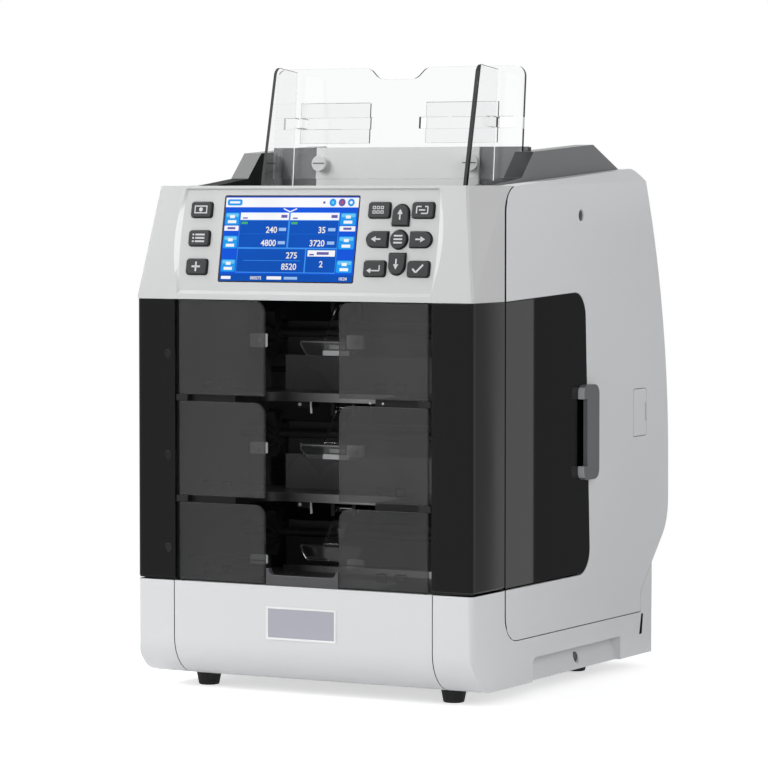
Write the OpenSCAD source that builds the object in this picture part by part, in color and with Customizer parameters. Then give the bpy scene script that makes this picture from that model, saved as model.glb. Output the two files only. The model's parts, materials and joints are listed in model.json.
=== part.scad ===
// Table-top banknote counter and sorter with three stacked pockets, a hopper on top,
// a leaning control head and a steel chassis inside.
// +Z is up, the front faces -Y, and the origin is the middle of the footprint on the table.

/* [Body] */
// Width over the side covers
body_w = 268; // [256:1:290]
// Depth from the front face to the rear bulge
body_d = 320; // [306:1:340]
// Height of the rubber feet
foot_h = 10; // [7:1:14]
// Height of the white base above its feet
base_h = 68; // [62:1:76]
// Height of the dark band that holds the pockets
band_h = 199; // [193:1:212]
// Height of the leaning control head
head_h = 79.5; // [78:0.5:84]
// Wall of the moulded covers
wall = 3; // [2.4:0.2:3.6]
// Radius of the upright front corners
corner_r = 4; // [2:0.5:6]
// Gap at the seams between the covers
seam_gap = 0.6; // [0.4:0.1:1]
// Radius of the rolled front edge under the base
base_roll_r = 28; // [20:1:32]

/* [Side outline] */
// Distance of the side seam behind the front face
seam_y = 49; // [46:1:54]
// How far the control head leans back over its height
head_lean = 14.5; // [10:0.5:18]
// How much narrower the head is on each side at its top
head_taper = 12; // [8:0.5:16]
// Rise of the top from the seam to the rear corner
top_rise = 13; // [8:0.5:18]
// Distance of the rear top corner before the rear bulge
rear_corner_y = 49; // [44:1:56]
// Radius of the long curve down the rear
rear_r = 550; // [500:10:640]
// Height of the rear bulge's widest point
rear_bulge_z = 150; // [140:1:165]
// Height where the rear starts to cut in
rear_cut_z = 121; // [110:1:128]
// Distance of the base's rear wall before the rear bulge
base_rear_y = 29; // [24:1:36]
// Height of the side cover's lower edge
skirt_z = 42; // [38:1:46]
// Radius of the side cover's front corners
cover_r = 18; // [14:1:22]
// Width of the slanted edge along the covers' top
top_chamfer = 7; // [4:0.5:9]

/* [Pockets] */
// Clear width between the two chassis plates
pocket_w = 203.2; // [196:0.4:210]
// Thickness of the chassis plates
plate_t = 2; // [1.6:0.2:2.6]
// Clear height of the lower pocket
lower_h = 53; // [50:1:56]
// Clear height of the middle pocket
middle_h = 65; // [62:1:68]
// Thickness of a pocket floor
floor_t = 6.3; // [5.7:0.1:7.5]
// Depth of a pocket floor
tray_d = 103; // [98:1:108]
// Width of the finger notch in each floor
notch_w = 112; // [96:1:118]
// Depth of the finger notch in each floor
notch_d = 50; // [40:1:56]
// Width of one smoked door
door_w = 69.2; // [64:0.2:72]
// Thickness of a smoked door
door_t = 3; // [2.6:0.2:3.4]
// Radius of a door's inner upper corner
door_corner_r = 8; // [4:0.5:12]
// Radius of the door pins
door_pin_r = 1.1; // [0.9:0.1:1.2]

/* [Control panel] */
// Width of the display opening
screen_w = 109; // [104:0.5:114]
// Height of the display opening
screen_h = 61.6; // [58:0.2:64]
// Place of the display's centre along X
screen_x = -15; // [-18:0.5:-13]
// Depth of the sunk field around screen and keys
field_sink = 1.5; // [1:0.1:2]
// Width of an oblong key
key_w = 17.4; // [15:0.2:17.6]
// Height of an oblong key
key_h = 11.2; // [10:0.2:13]
// Diameter of the round key
key_round = 13.6; // [12:0.2:13.8]
// How far the keys stand above the field
key_rise = 2.2; // [1.6:0.1:3]
// Travel of a key
key_travel = 1.2; // [0.8:0.1:1.4]

/* [Hopper] */
// How much wider the hopper is than the pockets below it
hopper_extra = 4.8; // [2:0.4:8]
// Width of a dark wing beside the hopper
wing_w = 14.5; // [10:0.5:15.5]
// Distance of the hopper's back wall behind the front face
hopper_back_y = 139; // [132:1:146]
// Lean of the hopper's back
back_lean = 5; // [2:0.5:8]
// Height of the clear backrest above the head's top
rest_rise = 85.5; // [76:0.5:92]
// Thickness of the clear sheets
clear_t = 3; // [2.4:0.2:3.4]
// Distance of each note guide from the middle
guide_x = 81; // [76:1:84]
// Depth of the hopper floor below the head's top
hopper_depth = 13.5; // [11:0.5:16]

/* [Mechanism] */
// Radius of the feed rollers
roller_r = 13; // [11:0.5:14]
// Radius of the roller shafts
shaft_r = 4; // [3:0.5:4.5]
// Radius of the stacker wheels
stacker_r = 20; // [16:0.5:21]
// Blades on a stacker wheel
stacker_blades = 8; // [5:1:10]
// Radius of the drive pulleys
pulley_r = 9; // [7:0.5:11]
// Running clearance of a shaft in its hole
run_gap = 0.05; // [0.02:0.01:0.1]
// Clearance between parts that move past each other
move_gap = 0.4; // [0.3:0.05:0.6]

/* [Hidden] */
$fn = 64;

// Levels
base_top = foot_h + base_h;
band_top = base_top + band_h;
head_top = band_top + head_h;
half_w = body_w / 2;
front = -body_d / 2;
inner_w = half_w - wall;
lower_floor = base_top + 1.8;
middle_floor = lower_floor + lower_h + floor_t;
upper_floor = middle_floor + middle_h + floor_t;
floors = [upper_floor, middle_floor, lower_floor];
ceilings = [band_top, upper_floor - floor_t, middle_floor - floor_t];

// Solid of a side outline, points as distance behind the front face and height
module along_x(x0, x1) {
    translate([x0, front, 0])
        rotate([90, 0, 90])
            linear_extrude(x1 - x0)
                children();
}

// Box given by its lowest and highest corner, with y counted from the front face
module block(lo, hi) {
    translate([lo[0], front + lo[1], lo[2]])
        cube([hi[0] - lo[0], hi[1] - lo[1], hi[2] - lo[2]]);
}

// Round bar along X
module bar(r, x0, x1, y, z) {
    translate([x0, front + y, z])
        rotate([0, 90, 0])
            cylinder(r = r, h = x1 - x0);
}

// Upright round bar
module post(r, x, y, z0, z1) {
    translate([x, front + y, z0])
        cylinder(r = r, h = z1 - z0);
}

// Points of an arc round (cy, cz) from angle a to angle b
function arc(cy, cz, r, a, b, n = 8) =
    [for (i = [0 : n]) [cy + r * cos(a + (b - a) * i / n), cz + r * sin(a + (b - a) * i / n)]];

module both_sides() {
    children();
    mirror([1, 0, 0]) children();
}

// Rounded rectangle about its middle
module pad(w, h, r) {
    square([w - 2 * r, h], center = true);
    square([w, h - 2 * r], center = true);
    for (x = [-1, 1], y = [-1, 1])
        translate([x * (w / 2 - r), y * (h / 2 - r)]) circle(r);
}

// Everything beyond the plane through three points, moved inwards by off
module beyond(a, b, c, off = 0) {
    m = cross(b - a, c - a);
    n = m / norm(m);
    translate(a - n * off)
        rotate([0, acos(n[2]), atan2(n[1], n[0])])
            translate([-300, -300, 0]) cube([600, 600, 60]);
}

// Plan of the whole body with its rounded upright corners
module body_plan(z0, z1) {
    translate([0, 0, z0])
        linear_extrude(z1 - z0)
            pad(body_w, body_d, corner_r);
}

// Outline of a side cover, moved inwards by d
tail_y = body_d - rear_corner_y;
top_start = seam_y + cover_r;
top_slope = atan(top_rise / (tail_y - top_start));
tail_z = skirt_z + 15;
tail_r = (rear_cut_z - tail_z - rear_corner_y) / tan(22.5);
rear_mid = body_d - rear_r;
crown_r = 10;
crown_k = -crown_r + sin(top_slope) * (rear_mid - top_start)
    - cos(top_slope) * (rear_bulge_z - head_top);
crown_a = top_slope + asin(crown_k / (rear_r - crown_r));
crown_y = rear_mid + (rear_r - crown_r) * cos(crown_a);
crown_z = rear_bulge_z + (rear_r - crown_r) * sin(crown_a);
function top_z(y) = head_top + (y - top_start) * tan(top_slope);
function cover_points(d) = concat(
    arc(top_start, head_top - cover_r, cover_r - d, 90 + top_slope, 180),
    arc(top_start, skirt_z + cover_r, cover_r - d, 180, 270),
    [[tail_y - d, skirt_z + d], [tail_y - d, tail_z + d * tan(22.5)]],
    arc(body_d - tail_r, rear_cut_z, tail_r - d, -45, 0, 6),
    arc(rear_mid, rear_bulge_z, rear_r - d, 0, crown_a, 14),
    arc(crown_y, crown_z, crown_r - d, crown_a, 90 + top_slope, 6));

// Outline of the dark panel in the side, moved inwards by d
side_panel_y = 184.3;
side_panel_r = 18;
// Its top edge climbs and its rear edge leans forwards by a few degrees
panel_rise = 2;
panel_lean = 2.6;
panel_low = [side_panel_y - side_panel_r, base_top + side_panel_r];
panel_line = band_top - seam_y * tan(panel_rise) - side_panel_r / cos(panel_rise);
panel_high_y = (panel_low[0] - (panel_line - panel_low[1]) * tan(panel_lean))
    / (1 + tan(panel_rise) * tan(panel_lean));
panel_high = [panel_high_y, panel_line + panel_high_y * tan(panel_rise)];
function panel_points(d) = concat(
    [[seam_y + d, base_top + d]],
    arc(panel_low[0], panel_low[1], side_panel_r - d, 270, 360 + panel_lean),
    arc(panel_high[0], panel_high[1], side_panel_r - d, panel_lean, 90 + panel_rise),
    [[seam_y + d, band_top - d]]);

// Base tub with its rolled front edge and two hand-holds
base_rear = body_d - base_rear_y;
panel_half = pocket_w / 2 + 1.4;
hold_y0 = 92;
hold_y1 = 236;
hold_z = foot_h + 17;
hold_deep = 9;
inlet_x = 52;
inlet_w = 28;
inlet_h = 20;
rear_port_z = foot_h + 30;
switch_x = 12;
switch_w = 15;
switch_h = 21;
foot_x = half_w - 35;
foot_y = [40, base_rear - 58];
foot_r = 9.2;
base_screw_z = foot_h + 8;
base_screw_y = hold_y0 + 82;
base_screw_x = half_w - hold_deep + 1;
hold_r = 5;

function base_points(d) = concat(
    [[d, base_top + (d > 0 ? 1 : 0)]],
    arc(base_roll_r, foot_h + base_roll_r, base_roll_r - d, 180, 270),
    [[base_rear - d, foot_h + d], [base_rear - d, base_top + (d > 0 ? 1 : 0)]]);

module hold_2d(d) {
    polygon([[half_w + 2, foot_h - 2 - d], [half_w + 2, hold_z + d],
        [half_w - hold_deep - d, hold_z + d], [half_w - wall - d, foot_h - 2 - d]]);
}

module hold(d) {
    intersection() {
        translate([0, front + hold_y1 + d, 0])
            rotate([90, 0, 0])
                linear_extrude(hold_y1 - hold_y0 + 2 * d)
                    hold_2d(d);
        along_x(half_w - 40, half_w + 3)
            polygon(concat(
                [[hold_y0 - d, foot_h - 3 - d], [hold_y1 + d, foot_h - 3 - d], [hold_y1 + d, hold_z + d]],
                arc(hold_y0 + hold_r, hold_z - hold_r, hold_r + d, 90, 180, 6)));
    }
}

// Slanted slot behind each hand-hold
module tail_slot() {
    along_x(half_w - wall - 1, half_w + 1)
        polygon([[base_rear - 22, foot_h + 15], [base_rear - 17.4, foot_h + 15],
            [base_rear - 15, skirt_z - 2], [base_rear - 18.4, skirt_z - 2]]);
}

module base_shell() {
    color("whitesmoke")
    difference() {
        intersection() {
            union() {
                difference() {
                    along_x(-half_w, half_w) polygon(base_points(0));
                    along_x(-inner_w, inner_w) polygon(base_points(wall));
                }
                both_sides() intersection() {
                    hold(wall);
                    block([0, 0, foot_h], [half_w, body_d, base_top]);
                }
            }
            body_plan(0, base_top);
        }
        along_x(-half_w - 1, half_w + 1) polygon(cover_points(-seam_gap));
        block([-panel_half - seam_gap, -1, 0],
            [panel_half + seam_gap, base_roll_r + seam_gap, base_top + 1]);
        both_sides() hold(0);
        both_sides() bar(4.2, base_screw_x, half_w, base_screw_y, base_screw_z);
        both_sides() bar(1.7, half_w - 20, half_w, base_screw_y, base_screw_z);
        both_sides() tail_slot();
        block([inlet_x - inlet_w / 2, base_rear - wall - 1, rear_port_z - inlet_h / 2],
            [inlet_x + inlet_w / 2, base_rear + 1, rear_port_z + inlet_h / 2]);
        block([switch_x - switch_w / 2, base_rear - wall - 1, rear_port_z - switch_h / 2],
            [switch_x + switch_w / 2, base_rear + 1, rear_port_z + switch_h / 2]);
    }
}

// Removable front of the base; its upper flange takes the lowest door pins
module base_front_panel() {
    color("white")
    difference() {
        union() {
            difference() {
                along_x(-panel_half, panel_half) polygon(base_points(0));
                along_x(-panel_half - 1, panel_half + 1) polygon(base_points(wall));
                block([-half_w, base_roll_r, 0], [half_w, body_d, base_top + 1]);
            }
            block([0.4 - tray_half, 1, base_top - wall], [tray_half - 0.4, tray_front - 0.3, base_top]);
        }
        both_sides() post(door_pin_r + run_gap, door_axis_x, door_axis_y, base_top - 2.2, base_top + 1);
        along_x(-plate_w / 2, plate_w / 2)
            translate([-1, plate_z - plate_hh / 2]) square([1 + plate_sink, plate_hh]);
    }
}

plate_w = 56;
plate_hh = 23.4;
plate_z = foot_h + 42;
plate_sink = 0.8;

module nameplate() {
    color("silver")
        block([-plate_w / 2 + 0.1, -0.4, plate_z - plate_hh / 2 + 0.1],
            [plate_w / 2 - 0.1, plate_sink, plate_z + plate_hh / 2 - 0.1]);
}

module rubber_feet() {
    color("black")
    for (x = [-1, 1], y = foot_y)
        translate([x * foot_x, front + y, 0])
            cylinder(r1 = foot_r - 2, r2 = foot_r, h = foot_h);
}

// Dark pillars beside the pockets
pillar_in = pocket_w / 2 + 0.8;
pillar_foot = 2.2;
pillar_screw_x = pillar_in + 6;
pillar_screw_z = [for (i = [0 : 2]) (floors[i] + ceilings[i]) / 2 - 5];

module pillar() {
    intersection() {
        difference() {
            union() {
                block([pillar_in, 0, base_top], [half_w, wall, band_top]);
                block([inner_w, 0, base_top], [half_w, seam_y - seam_gap, band_top]);
            }
            block([pillar_in - 1, -1, base_top - 1], [half_w + 1, 1.4, base_top + pillar_foot]);
            block([half_w - 1.4, -1, base_top - 1], [half_w + 1, seam_y, base_top + pillar_foot]);
        }
        body_plan(base_top - 2, band_top);
    }
}

module right_front_pillar() {
    color("dimgray") pillar();
}

module left_front_pillar() {
    color("dimgray")
    mirror([1, 0, 0])
        difference() {
            pillar();
            for (z = pillar_screw_z) {
                at_front(pillar_screw_x, z) cylinder(r = 3.1, h = 1.6);
                at_front(pillar_screw_x, z) cylinder(r = 1.7, h = wall + 1);
            }
        }
}

// Places something on the front face, pointing inwards
module at_front(x, z) {
    translate([x, front, z]) rotate([-90, 0, 0]) children();
}

module screw(head_r, head_h, shank_r, shank_h) {
    cylinder(r = head_r, h = head_h);
    cylinder(r = shank_r, h = head_h + shank_h);
}

lock_y = 168;
lock_z = head_top - 21;

module screws() {
    color("gray") {
        for (z = pillar_screw_z)
            at_front(-pillar_screw_x, z) translate([0, 0, 0.2]) screw(2.9, 1.4, 1.5, 7);
        both_sides() translate([half_w, front + lock_y, lock_z]) rotate([0, -90, 0])
            translate([0, 0, 1.1]) screw(4.1, 1.1, 2, 6);
        both_sides() translate([base_screw_x + 1, front + base_screw_y, base_screw_z])
            rotate([0, -90, 0]) screw(3.9, 1, 1.6, 6);
        both_sides() on_back() translate([stud_x, -rest_back - clear_t - 2.6, stud_v]) rotate([-90, 0, 0])
            screw(5.8, 2.6, 2, clear_t + rest_back - 0.2);
    }
}

// Control head
tilt = atan(head_lean / head_h);
panel_t = field_sink + wall - 0.5;
panel_len = head_h / cos(tilt);

// Frame of the leaning panel: x across, y up the panel, z outwards
module on_panel() {
    translate([0, front, band_top]) rotate([90 - tilt, 0, 0]) children();
}

module facet(off) {
    a = [half_w, front, band_top];
    b = [half_w - head_taper, front + head_lean, head_top];
    c = [half_w, front + seam_y, head_top];
    both_sides() beyond(a, c, b, off);
}

// Sunk field with bulging ends
field_w = 202;
field_bulge = 6;
field_v0 = 6.5;
field_v1 = panel_len - 2;
field_mid = (field_v0 + field_v1) / 2;
field_arc = atan(2 * field_bulge / (field_v1 - field_v0)) * 2;
field_r = (field_v1 - field_v0) / 2 / sin(field_arc);
function field_points() = concat(
    arc(field_w / 2 - field_r * cos(field_arc), field_mid, field_r, -field_arc, field_arc, 12),
    arc(-field_w / 2 + field_r * cos(field_arc), field_mid, field_r,
        180 - field_arc, 180 + field_arc, 12));

key_row_v = 43.5;
key_pitch_v = 20.3;
left_key_x = -87;
key_col_x = 72.7;
key_pitch_x = 17;
arrow_w = 13.2;
arrow_h = 15.4;
arrow_off = 17;
key_lip = 0.6;
key_gap = 0.3;
key_foot = 1;
board_t = 1.6;
board_w0 = panel_t + 3;

// Key faces, grown by g
module oblong_2d(g) {
    pad(key_w + 2 * g, key_h + 2 * g, 2 + g);
}

module round_2d(g) {
    circle(key_round / 2 + g);
}

module arch_2d(w, h, g) {
    r = w / 2 + g;
    translate([0, h / 2 - w / 2]) circle(r);
    translate([-r, -h / 2 - g]) square([2 * r, h - w / 2 + g]);
}

module arrow_2d(turn, g) {
    rotate(turn) arch_2d(arrow_w, arrow_h, g);
}

module side_arrow_2d(turn, g) {
    rotate(turn) arch_2d(key_h, key_w, g);
}

// Calls its children once for every key: place and face
key_place = [
    [left_key_x, key_row_v + key_pitch_v], [left_key_x, key_row_v], [left_key_x, key_row_v - key_pitch_v],
    [key_col_x - key_pitch_x, key_row_v + key_pitch_v], [key_col_x, key_row_v + arrow_off],
    [key_col_x + key_pitch_x, key_row_v + key_pitch_v],
    [key_col_x - key_pitch_x, key_row_v], [key_col_x, key_row_v], [key_col_x + key_pitch_x, key_row_v],
    [key_col_x - key_pitch_x, key_row_v - key_pitch_v], [key_col_x, key_row_v - arrow_off],
    [key_col_x + key_pitch_x, key_row_v - key_pitch_v]];

module key_face(i, g) {
    if (i == 4) arrow_2d(0, g);
    else if (i == 10) arrow_2d(180, g);
    else if (i == 6) side_arrow_2d(90, g);
    else if (i == 8) side_arrow_2d(-90, g);
    else if (i == 7) round_2d(g);
    else oblong_2d(g);
}

module key_cap(i) {
    color("darkslategray")
    on_panel() translate([key_place[i][0], key_place[i][1], 0]) {
        translate([0, 0, -panel_t])
            linear_extrude(panel_t - field_sink + key_rise) key_face(i, 0);
        translate([0, 0, -panel_t - key_foot])
            linear_extrude(key_foot) key_face(i, key_lip);
    }
}

module key_left_top() { key_cap(0); }
module key_left_middle() { key_cap(1); }
module key_left_bottom() { key_cap(2); }
module key_mode() { key_cap(3); }
module key_up() { key_cap(4); }
module key_back() { key_cap(5); }
module key_left() { key_cap(6); }
module key_menu() { key_cap(7); }
module key_right() { key_cap(8); }
module key_return() { key_cap(9); }
module key_down() { key_cap(10); }
module key_confirm() { key_cap(11); }

// Posts that carry the two key boards
board_posts = [[left_key_x, key_row_v + key_pitch_v / 2], [left_key_x, key_row_v - key_pitch_v / 2],
    [key_col_x - key_pitch_x - 7, key_row_v + key_pitch_v / 2],
    [key_col_x + key_pitch_x + 7, key_row_v + key_pitch_v / 2],
    [key_col_x - key_pitch_x - 7, key_row_v - key_pitch_v / 2],
    [key_col_x + key_pitch_x + 7, key_row_v - key_pitch_v / 2]];
screen_v = key_row_v;

module control_fascia() {
    lip_y = head_lean + 10;
    color("gainsboro")
    difference() {
        union() {
            difference() {
                along_x(-half_w, half_w)
                    polygon([[0, band_top], [head_lean, head_top], [top_start + 3, head_top],
                        [top_start + 3, band_top]]);
                difference() {
                    along_x(-inner_w, inner_w)
                        polygon([[panel_t / cos(tilt) + wall * tan(tilt), band_top + wall],
                            [panel_t / cos(tilt) + head_lean - wall * tan(tilt), head_top - wall],
                            [top_start + 4, head_top - wall], [top_start + 4, band_top - 1],
                            [8, band_top - 1], [8, band_top + wall]]);
                    facet(wall);
                }
            }
            on_panel() for (p = board_posts)
                translate([p[0], p[1], -board_w0]) cylinder(r = 1.6, h = 3.2);
        }
        along_x(-half_w - 1, half_w + 1) polygon(cover_points(-seam_gap));
        facet(0);
        block([-deck_half - 0.4, lip_y, head_top - wall - 1], [deck_half + 0.4, body_d, head_top + 1]);
        both_sides() post(door_pin_r + run_gap, door_axis_x, door_axis_y, band_top - 1, band_top + 2.2);
        on_panel() {
            translate([0, 0, -field_sink]) linear_extrude(20) polygon(field_points());
            translate([screen_x, screen_v, -panel_t - 1])
                linear_extrude(20) pad(screen_w, screen_h, 1.5);
            for (i = [0 : 11])
                translate([key_place[i][0], key_place[i][1], -panel_t - 1])
                    linear_extrude(20) key_face(i, key_gap);
        }
    }
}

module screen_window() {
    color("royalblue")
    on_panel() translate([screen_x, screen_v, 0]) {
        translate([0, 0, -panel_t - 6]) linear_extrude(6) pad(screen_w + 7, screen_h + 4.4, 1);
        translate([0, 0, -panel_t]) linear_extrude(panel_t - field_sink - 0.4)
            pad(screen_w - 0.8, screen_h - 0.8, 1.1);
    }
}

// Key boards on the panel and the main board on the left plate
main_board_y = base_rear - 91;
main_board_z = 160;
main_board_d = 72;
main_board_h = 100;
board_stand = 5;

module circuit_boards() {
    x0 = -pocket_w / 2 - plate_t - board_stand;
    color("darkgreen") {
        on_panel() translate([0, 0, -board_w0 - board_t]) {
            linear_extrude(board_t)
                translate([left_key_x, key_row_v]) square([22, 60], center = true);
            linear_extrude(board_t)
                translate([key_col_x, key_row_v]) square([55, 60], center = true);
            for (p = key_place)
                translate([p[0], p[1], 0])
                    cylinder(r = 1.8, h = board_t + 3 - key_foot - key_travel - 0.1);
        }
        block([x0 - board_t, main_board_y, main_board_z],
            [x0, main_board_y + main_board_d, main_board_z + main_board_h]);
        for (y = [6, main_board_d - 6], z = [6, main_board_h - 6])
            bar(3, x0, x0 + board_stand, main_board_y + y, main_board_z + z);
        for (k = [0 : 2])
            block([x0 - board_t - 7, main_board_y + 12, main_board_z + 14 + k * 26],
                [x0 - board_t, main_board_y + 12 + 20 + 12 * (k % 2), main_board_z + 30 + k * 26]);
    }
}

// Side covers
flap_y0 = 257.6;
flap_y1 = 281;
flap_z0 = foot_h + 162;
flap_z1 = foot_h + 197.5;
flap_t = 2;
flap_axis_x = half_w - 1.4;
flap_axis_y = flap_y0 + 2.3;
flap_pin_r = 0.8;
flange_x = half_w - wing_w - 0.6;
hinge_x = half_w - 2;
hinge_y = seam_y + 4.6;
hinge_pin_r = 1.2;

// Port flap's outline, drawn in at the hinge edge and at the other edges, with rounded rear corners
flap_r = 3;
function flap_points(hinge_in, in) = concat(
    [[flap_y0 + hinge_in, flap_z1 - in], [flap_y0 + hinge_in, flap_z0 + in]],
    arc(flap_y1 - flap_r, flap_z0 + flap_r, flap_r - in, 270, 360, 6),
    arc(flap_y1 - flap_r, flap_z1 - flap_r, flap_r - in, 0, 90, 6));

module cover_chamfer(off) {
    a = [half_w, front + top_start - 5, top_z(top_start - 5)];
    b = [half_w, front + tail_y, top_z(tail_y) - top_chamfer * 1.35];
    c = [half_w - top_chamfer * 1.2, front + tail_y, top_z(tail_y)];
    beyond(a, b, c, off);
}

module side_cover() {
    difference() {
        union() {
            difference() {
                along_x(flange_x, half_w) polygon(cover_points(0));
                difference() {
                    along_x(flange_x - 1, inner_w) polygon(cover_points(wall));
                    cover_chamfer(wall);
                }
            }
            block([hinge_x - 4, seam_y, band_top], [inner_w + 1, seam_y + 9, band_top + 6]);
            block([hinge_x - 4, seam_y, base_top - 6], [inner_w + 1, seam_y + 9, base_top]);
        }
        cover_chamfer(0);
        along_x(flange_x - 1, half_w + 1) {
            polygon(panel_points(0));
            translate([seam_y - 5, base_top]) square([10, band_top - base_top]);
        }
        translate([half_w, front + lock_y, lock_z]) rotate([0, -90, 0]) {
            translate([0, 0, -1]) cylinder(r = 4.25, h = 3.2);
            cylinder(r = 2.2, h = wall + 1);
        }
    }
}

module right_side_cover() {
    color("whitesmoke")
    difference() {
        side_cover();
        along_x(inner_w - 1, half_w + 1) polygon(flap_points(0, 0));
        post(flap_pin_r + run_gap, flap_axis_x, flap_axis_y, flap_z0 - 2, flap_z1 + 2);
        post(hinge_pin_r + run_gap, hinge_x, hinge_y, base_top - 4, band_top + 4);
    }
}

module left_side_cover() {
    color("whitesmoke") mirror([1, 0, 0]) side_cover();
}

module left_side_inlay() {
    color("dimgray")
    mirror([1, 0, 0])
        along_x(inner_w, half_w) polygon(panel_points(seam_gap));
}

// Side door with its finger pocket, hinged at the front edge
pocket_y0 = 162.5;
pocket_y1 = 175.5;
grip_z = foot_h + 170.5;
grip_h = 68;
grip_leg = 10;
pocket_half = grip_h / 2 - grip_leg;
pocket_deep = 11;

module right_side_door() {
    color("dimgray")
    difference() {
        union() {
            along_x(inner_w, half_w) polygon(panel_points(seam_gap));
            block([half_w - pocket_deep - 1.6, pocket_y0 - 1.6, grip_z - pocket_half - 1.6],
                [inner_w + 0.5, pocket_y1 + 1.4, grip_z + pocket_half + 1.6]);
            post(hinge_pin_r, hinge_x, hinge_y, base_top - 3.6, band_top + 3.6);
        }
        block([half_w - pocket_deep, pocket_y0, grip_z - pocket_half],
            [half_w + 1, pocket_y1, grip_z + pocket_half]);
    }
}

// C-shaped grip screwed to the door
grip_rise = 5;
grip_y0 = 163.5;
grip_y1 = 189;
grip_bar_y = 169.5;
grip_edge_y = 176.9;
grip_end_r = 6;
grip_corner_r = 7;

module door_handle() {
    color("gray")
    difference() {
        along_x(half_w, half_w + grip_rise)
            polygon(concat(
                arc(grip_y0 + grip_end_r, grip_z - grip_h / 2 + grip_end_r, grip_end_r, 180, 270, 8),
                arc(grip_y1 - grip_corner_r, grip_z - grip_h / 2 + grip_corner_r, grip_corner_r, 270, 360, 8),
                arc(grip_y1 - grip_corner_r, grip_z + grip_h / 2 - grip_corner_r, grip_corner_r, 0, 90, 8),
                arc(grip_y0 + grip_end_r, grip_z + grip_h / 2 - grip_end_r, grip_end_r, 90, 180, 8)));
        along_x(half_w - 1, half_w + grip_rise + 1)
            translate([grip_y0 - 1, grip_z - pocket_half])
                square([grip_bar_y - grip_y0 + 1, 2 * pocket_half]);
        block([half_w - 1, grip_bar_y - 1, grip_z - pocket_half],
            [half_w + 1.4, pocket_y1, grip_z + pocket_half]);
        block([half_w - 1, grip_edge_y, grip_z - grip_h],
            [half_w + 0.5, grip_y1 + 1, grip_z + grip_h]);
    }
}

flap_notch_d = 2.6;
flap_notch_h = 13.6;

module port_flap() {
    color("whitesmoke")
    difference() {
        union() {
            along_x(half_w - flap_t, half_w) polygon(flap_points(0.9, 0.5));
            post(flap_pin_r, flap_axis_x, flap_axis_y, flap_z0 - 1.7, flap_z1 + 1.7);
        }
        block([half_w - flap_t + 0.9, flap_y1 - 0.5 - flap_notch_d, (flap_z0 + flap_z1 - flap_notch_h) / 2],
            [half_w + 1, flap_y1 + 1, (flap_z0 + flap_z1 + flap_notch_h) / 2]);
    }
}

// Rear cover between the side covers, with air slots
deck_half = half_w - wing_w - 1;
deck_end = tail_y - 8;
vent_n = 7;
vent_w = 130;

module rear_cover() {
    color("whitesmoke")
    difference() {
        intersection() {
            along_x(-flange_x + 0.4, flange_x - 0.4)
                difference() {
                    polygon(cover_points(0));
                    polygon(cover_points(wall));
                }
            union() {
                block([-half_w, deck_end + 0.6, rear_bulge_z], [half_w, body_d + 1, head_top + 40]);
                block([-half_w, tail_y, tail_z + rear_corner_y - base_rear_y],
                    [half_w, body_d + 1, rear_bulge_z + 1]);
            }
        }
        for (i = [0 : vent_n - 1])
            block([-vent_w / 2, body_d - 60, rear_bulge_z + 20 + i * 10],
                [vent_w / 2, body_d + 1, rear_bulge_z + 24 + i * 10]);
    }
}

// Hopper: dark deck, well, wings and raised back wall in one moulding
hopper_half = (pocket_w + hopper_extra) / 2;
well_y0 = head_lean + 13.5;
well_floor = head_top - hopper_depth;
back_h = 28;
back_t = 5;
pickup_y = 62;
feed_y = 111;
roller_z = well_floor + 1.2 - roller_r;
roll_x = 36;
roll_w = 20;
throat_y = hopper_back_y - 10;

// Frame of the leaning hopper back: x across, y to the rear, z up the back
module on_back() {
    translate([0, front + hopper_back_y, head_top]) rotate([-back_lean, 0, 0]) children();
}

module back_block(lo, hi) {
    on_back() translate(lo) cube(hi - lo);
}

function wing_points() = [
    [hopper_back_y - 36, top_z(hopper_back_y - 36) - 3],
    [hopper_back_y - 34, top_z(hopper_back_y - 34)],
    [hopper_back_y - 16, head_top + 24],
    [hopper_back_y + 81, head_top + 30],
    [deck_end, top_z(deck_end)],
    [deck_end, top_z(deck_end) - 3]];

module hopper_surround() {
    side_t = 2.4;
    color("darkslategray")
    difference() {
        union() {
            difference() {
                along_x(-deck_half, deck_half)
                    polygon([[well_y0 - wall, top_z(well_y0) - 1], [deck_end, top_z(deck_end) - 1],
                        [deck_end, top_z(deck_end) - 1 - wall], [well_y0 - wall, top_z(well_y0) - 1 - wall]]);
                block([-hopper_half, well_y0, well_floor], [hopper_half, hopper_back_y + 2, head_top + 20]);
            }
            difference() {
                along_x(-hopper_half - side_t, hopper_half + side_t)
                    polygon([[well_y0 - wall, top_z(well_y0) - 1.5], [well_y0 - wall, well_floor - wall],
                        [hopper_back_y + back_t, well_floor - wall],
                        [hopper_back_y + back_t, top_z(hopper_back_y) - 1.5]]);
                block([-hopper_half, well_y0, well_floor], [hopper_half, hopper_back_y + back_t + 1, head_top + 20]);
            }
            intersection() {
                back_block([-hopper_half - 1, 0, -hopper_depth - wall], [hopper_half + 1, back_t, back_h]);
                block([-half_w, 0, well_floor - 1], [half_w, body_d, head_top + 60]);
            }
            both_sides() along_x(hopper_half, deck_half) polygon(wing_points());
        }
        for (x = [-1, 1], y = [pickup_y, feed_y])
            block([x * roll_x - roll_w / 2 - 1.5, y - roller_r - 1, well_floor - wall - 1],
                [x * roll_x + roll_w / 2 + 1.5, y + roller_r + 1, well_floor + 1]);
        block([-hopper_half + 8, throat_y, well_floor - wall - 1], [hopper_half - 8, throat_y + 4, well_floor + 1]);
        both_sides() on_back() translate([stud_x, -10, stud_v]) rotate([-90, 0, 0])
            cylinder(r = 2.3, h = 14);
    }
}

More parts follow.
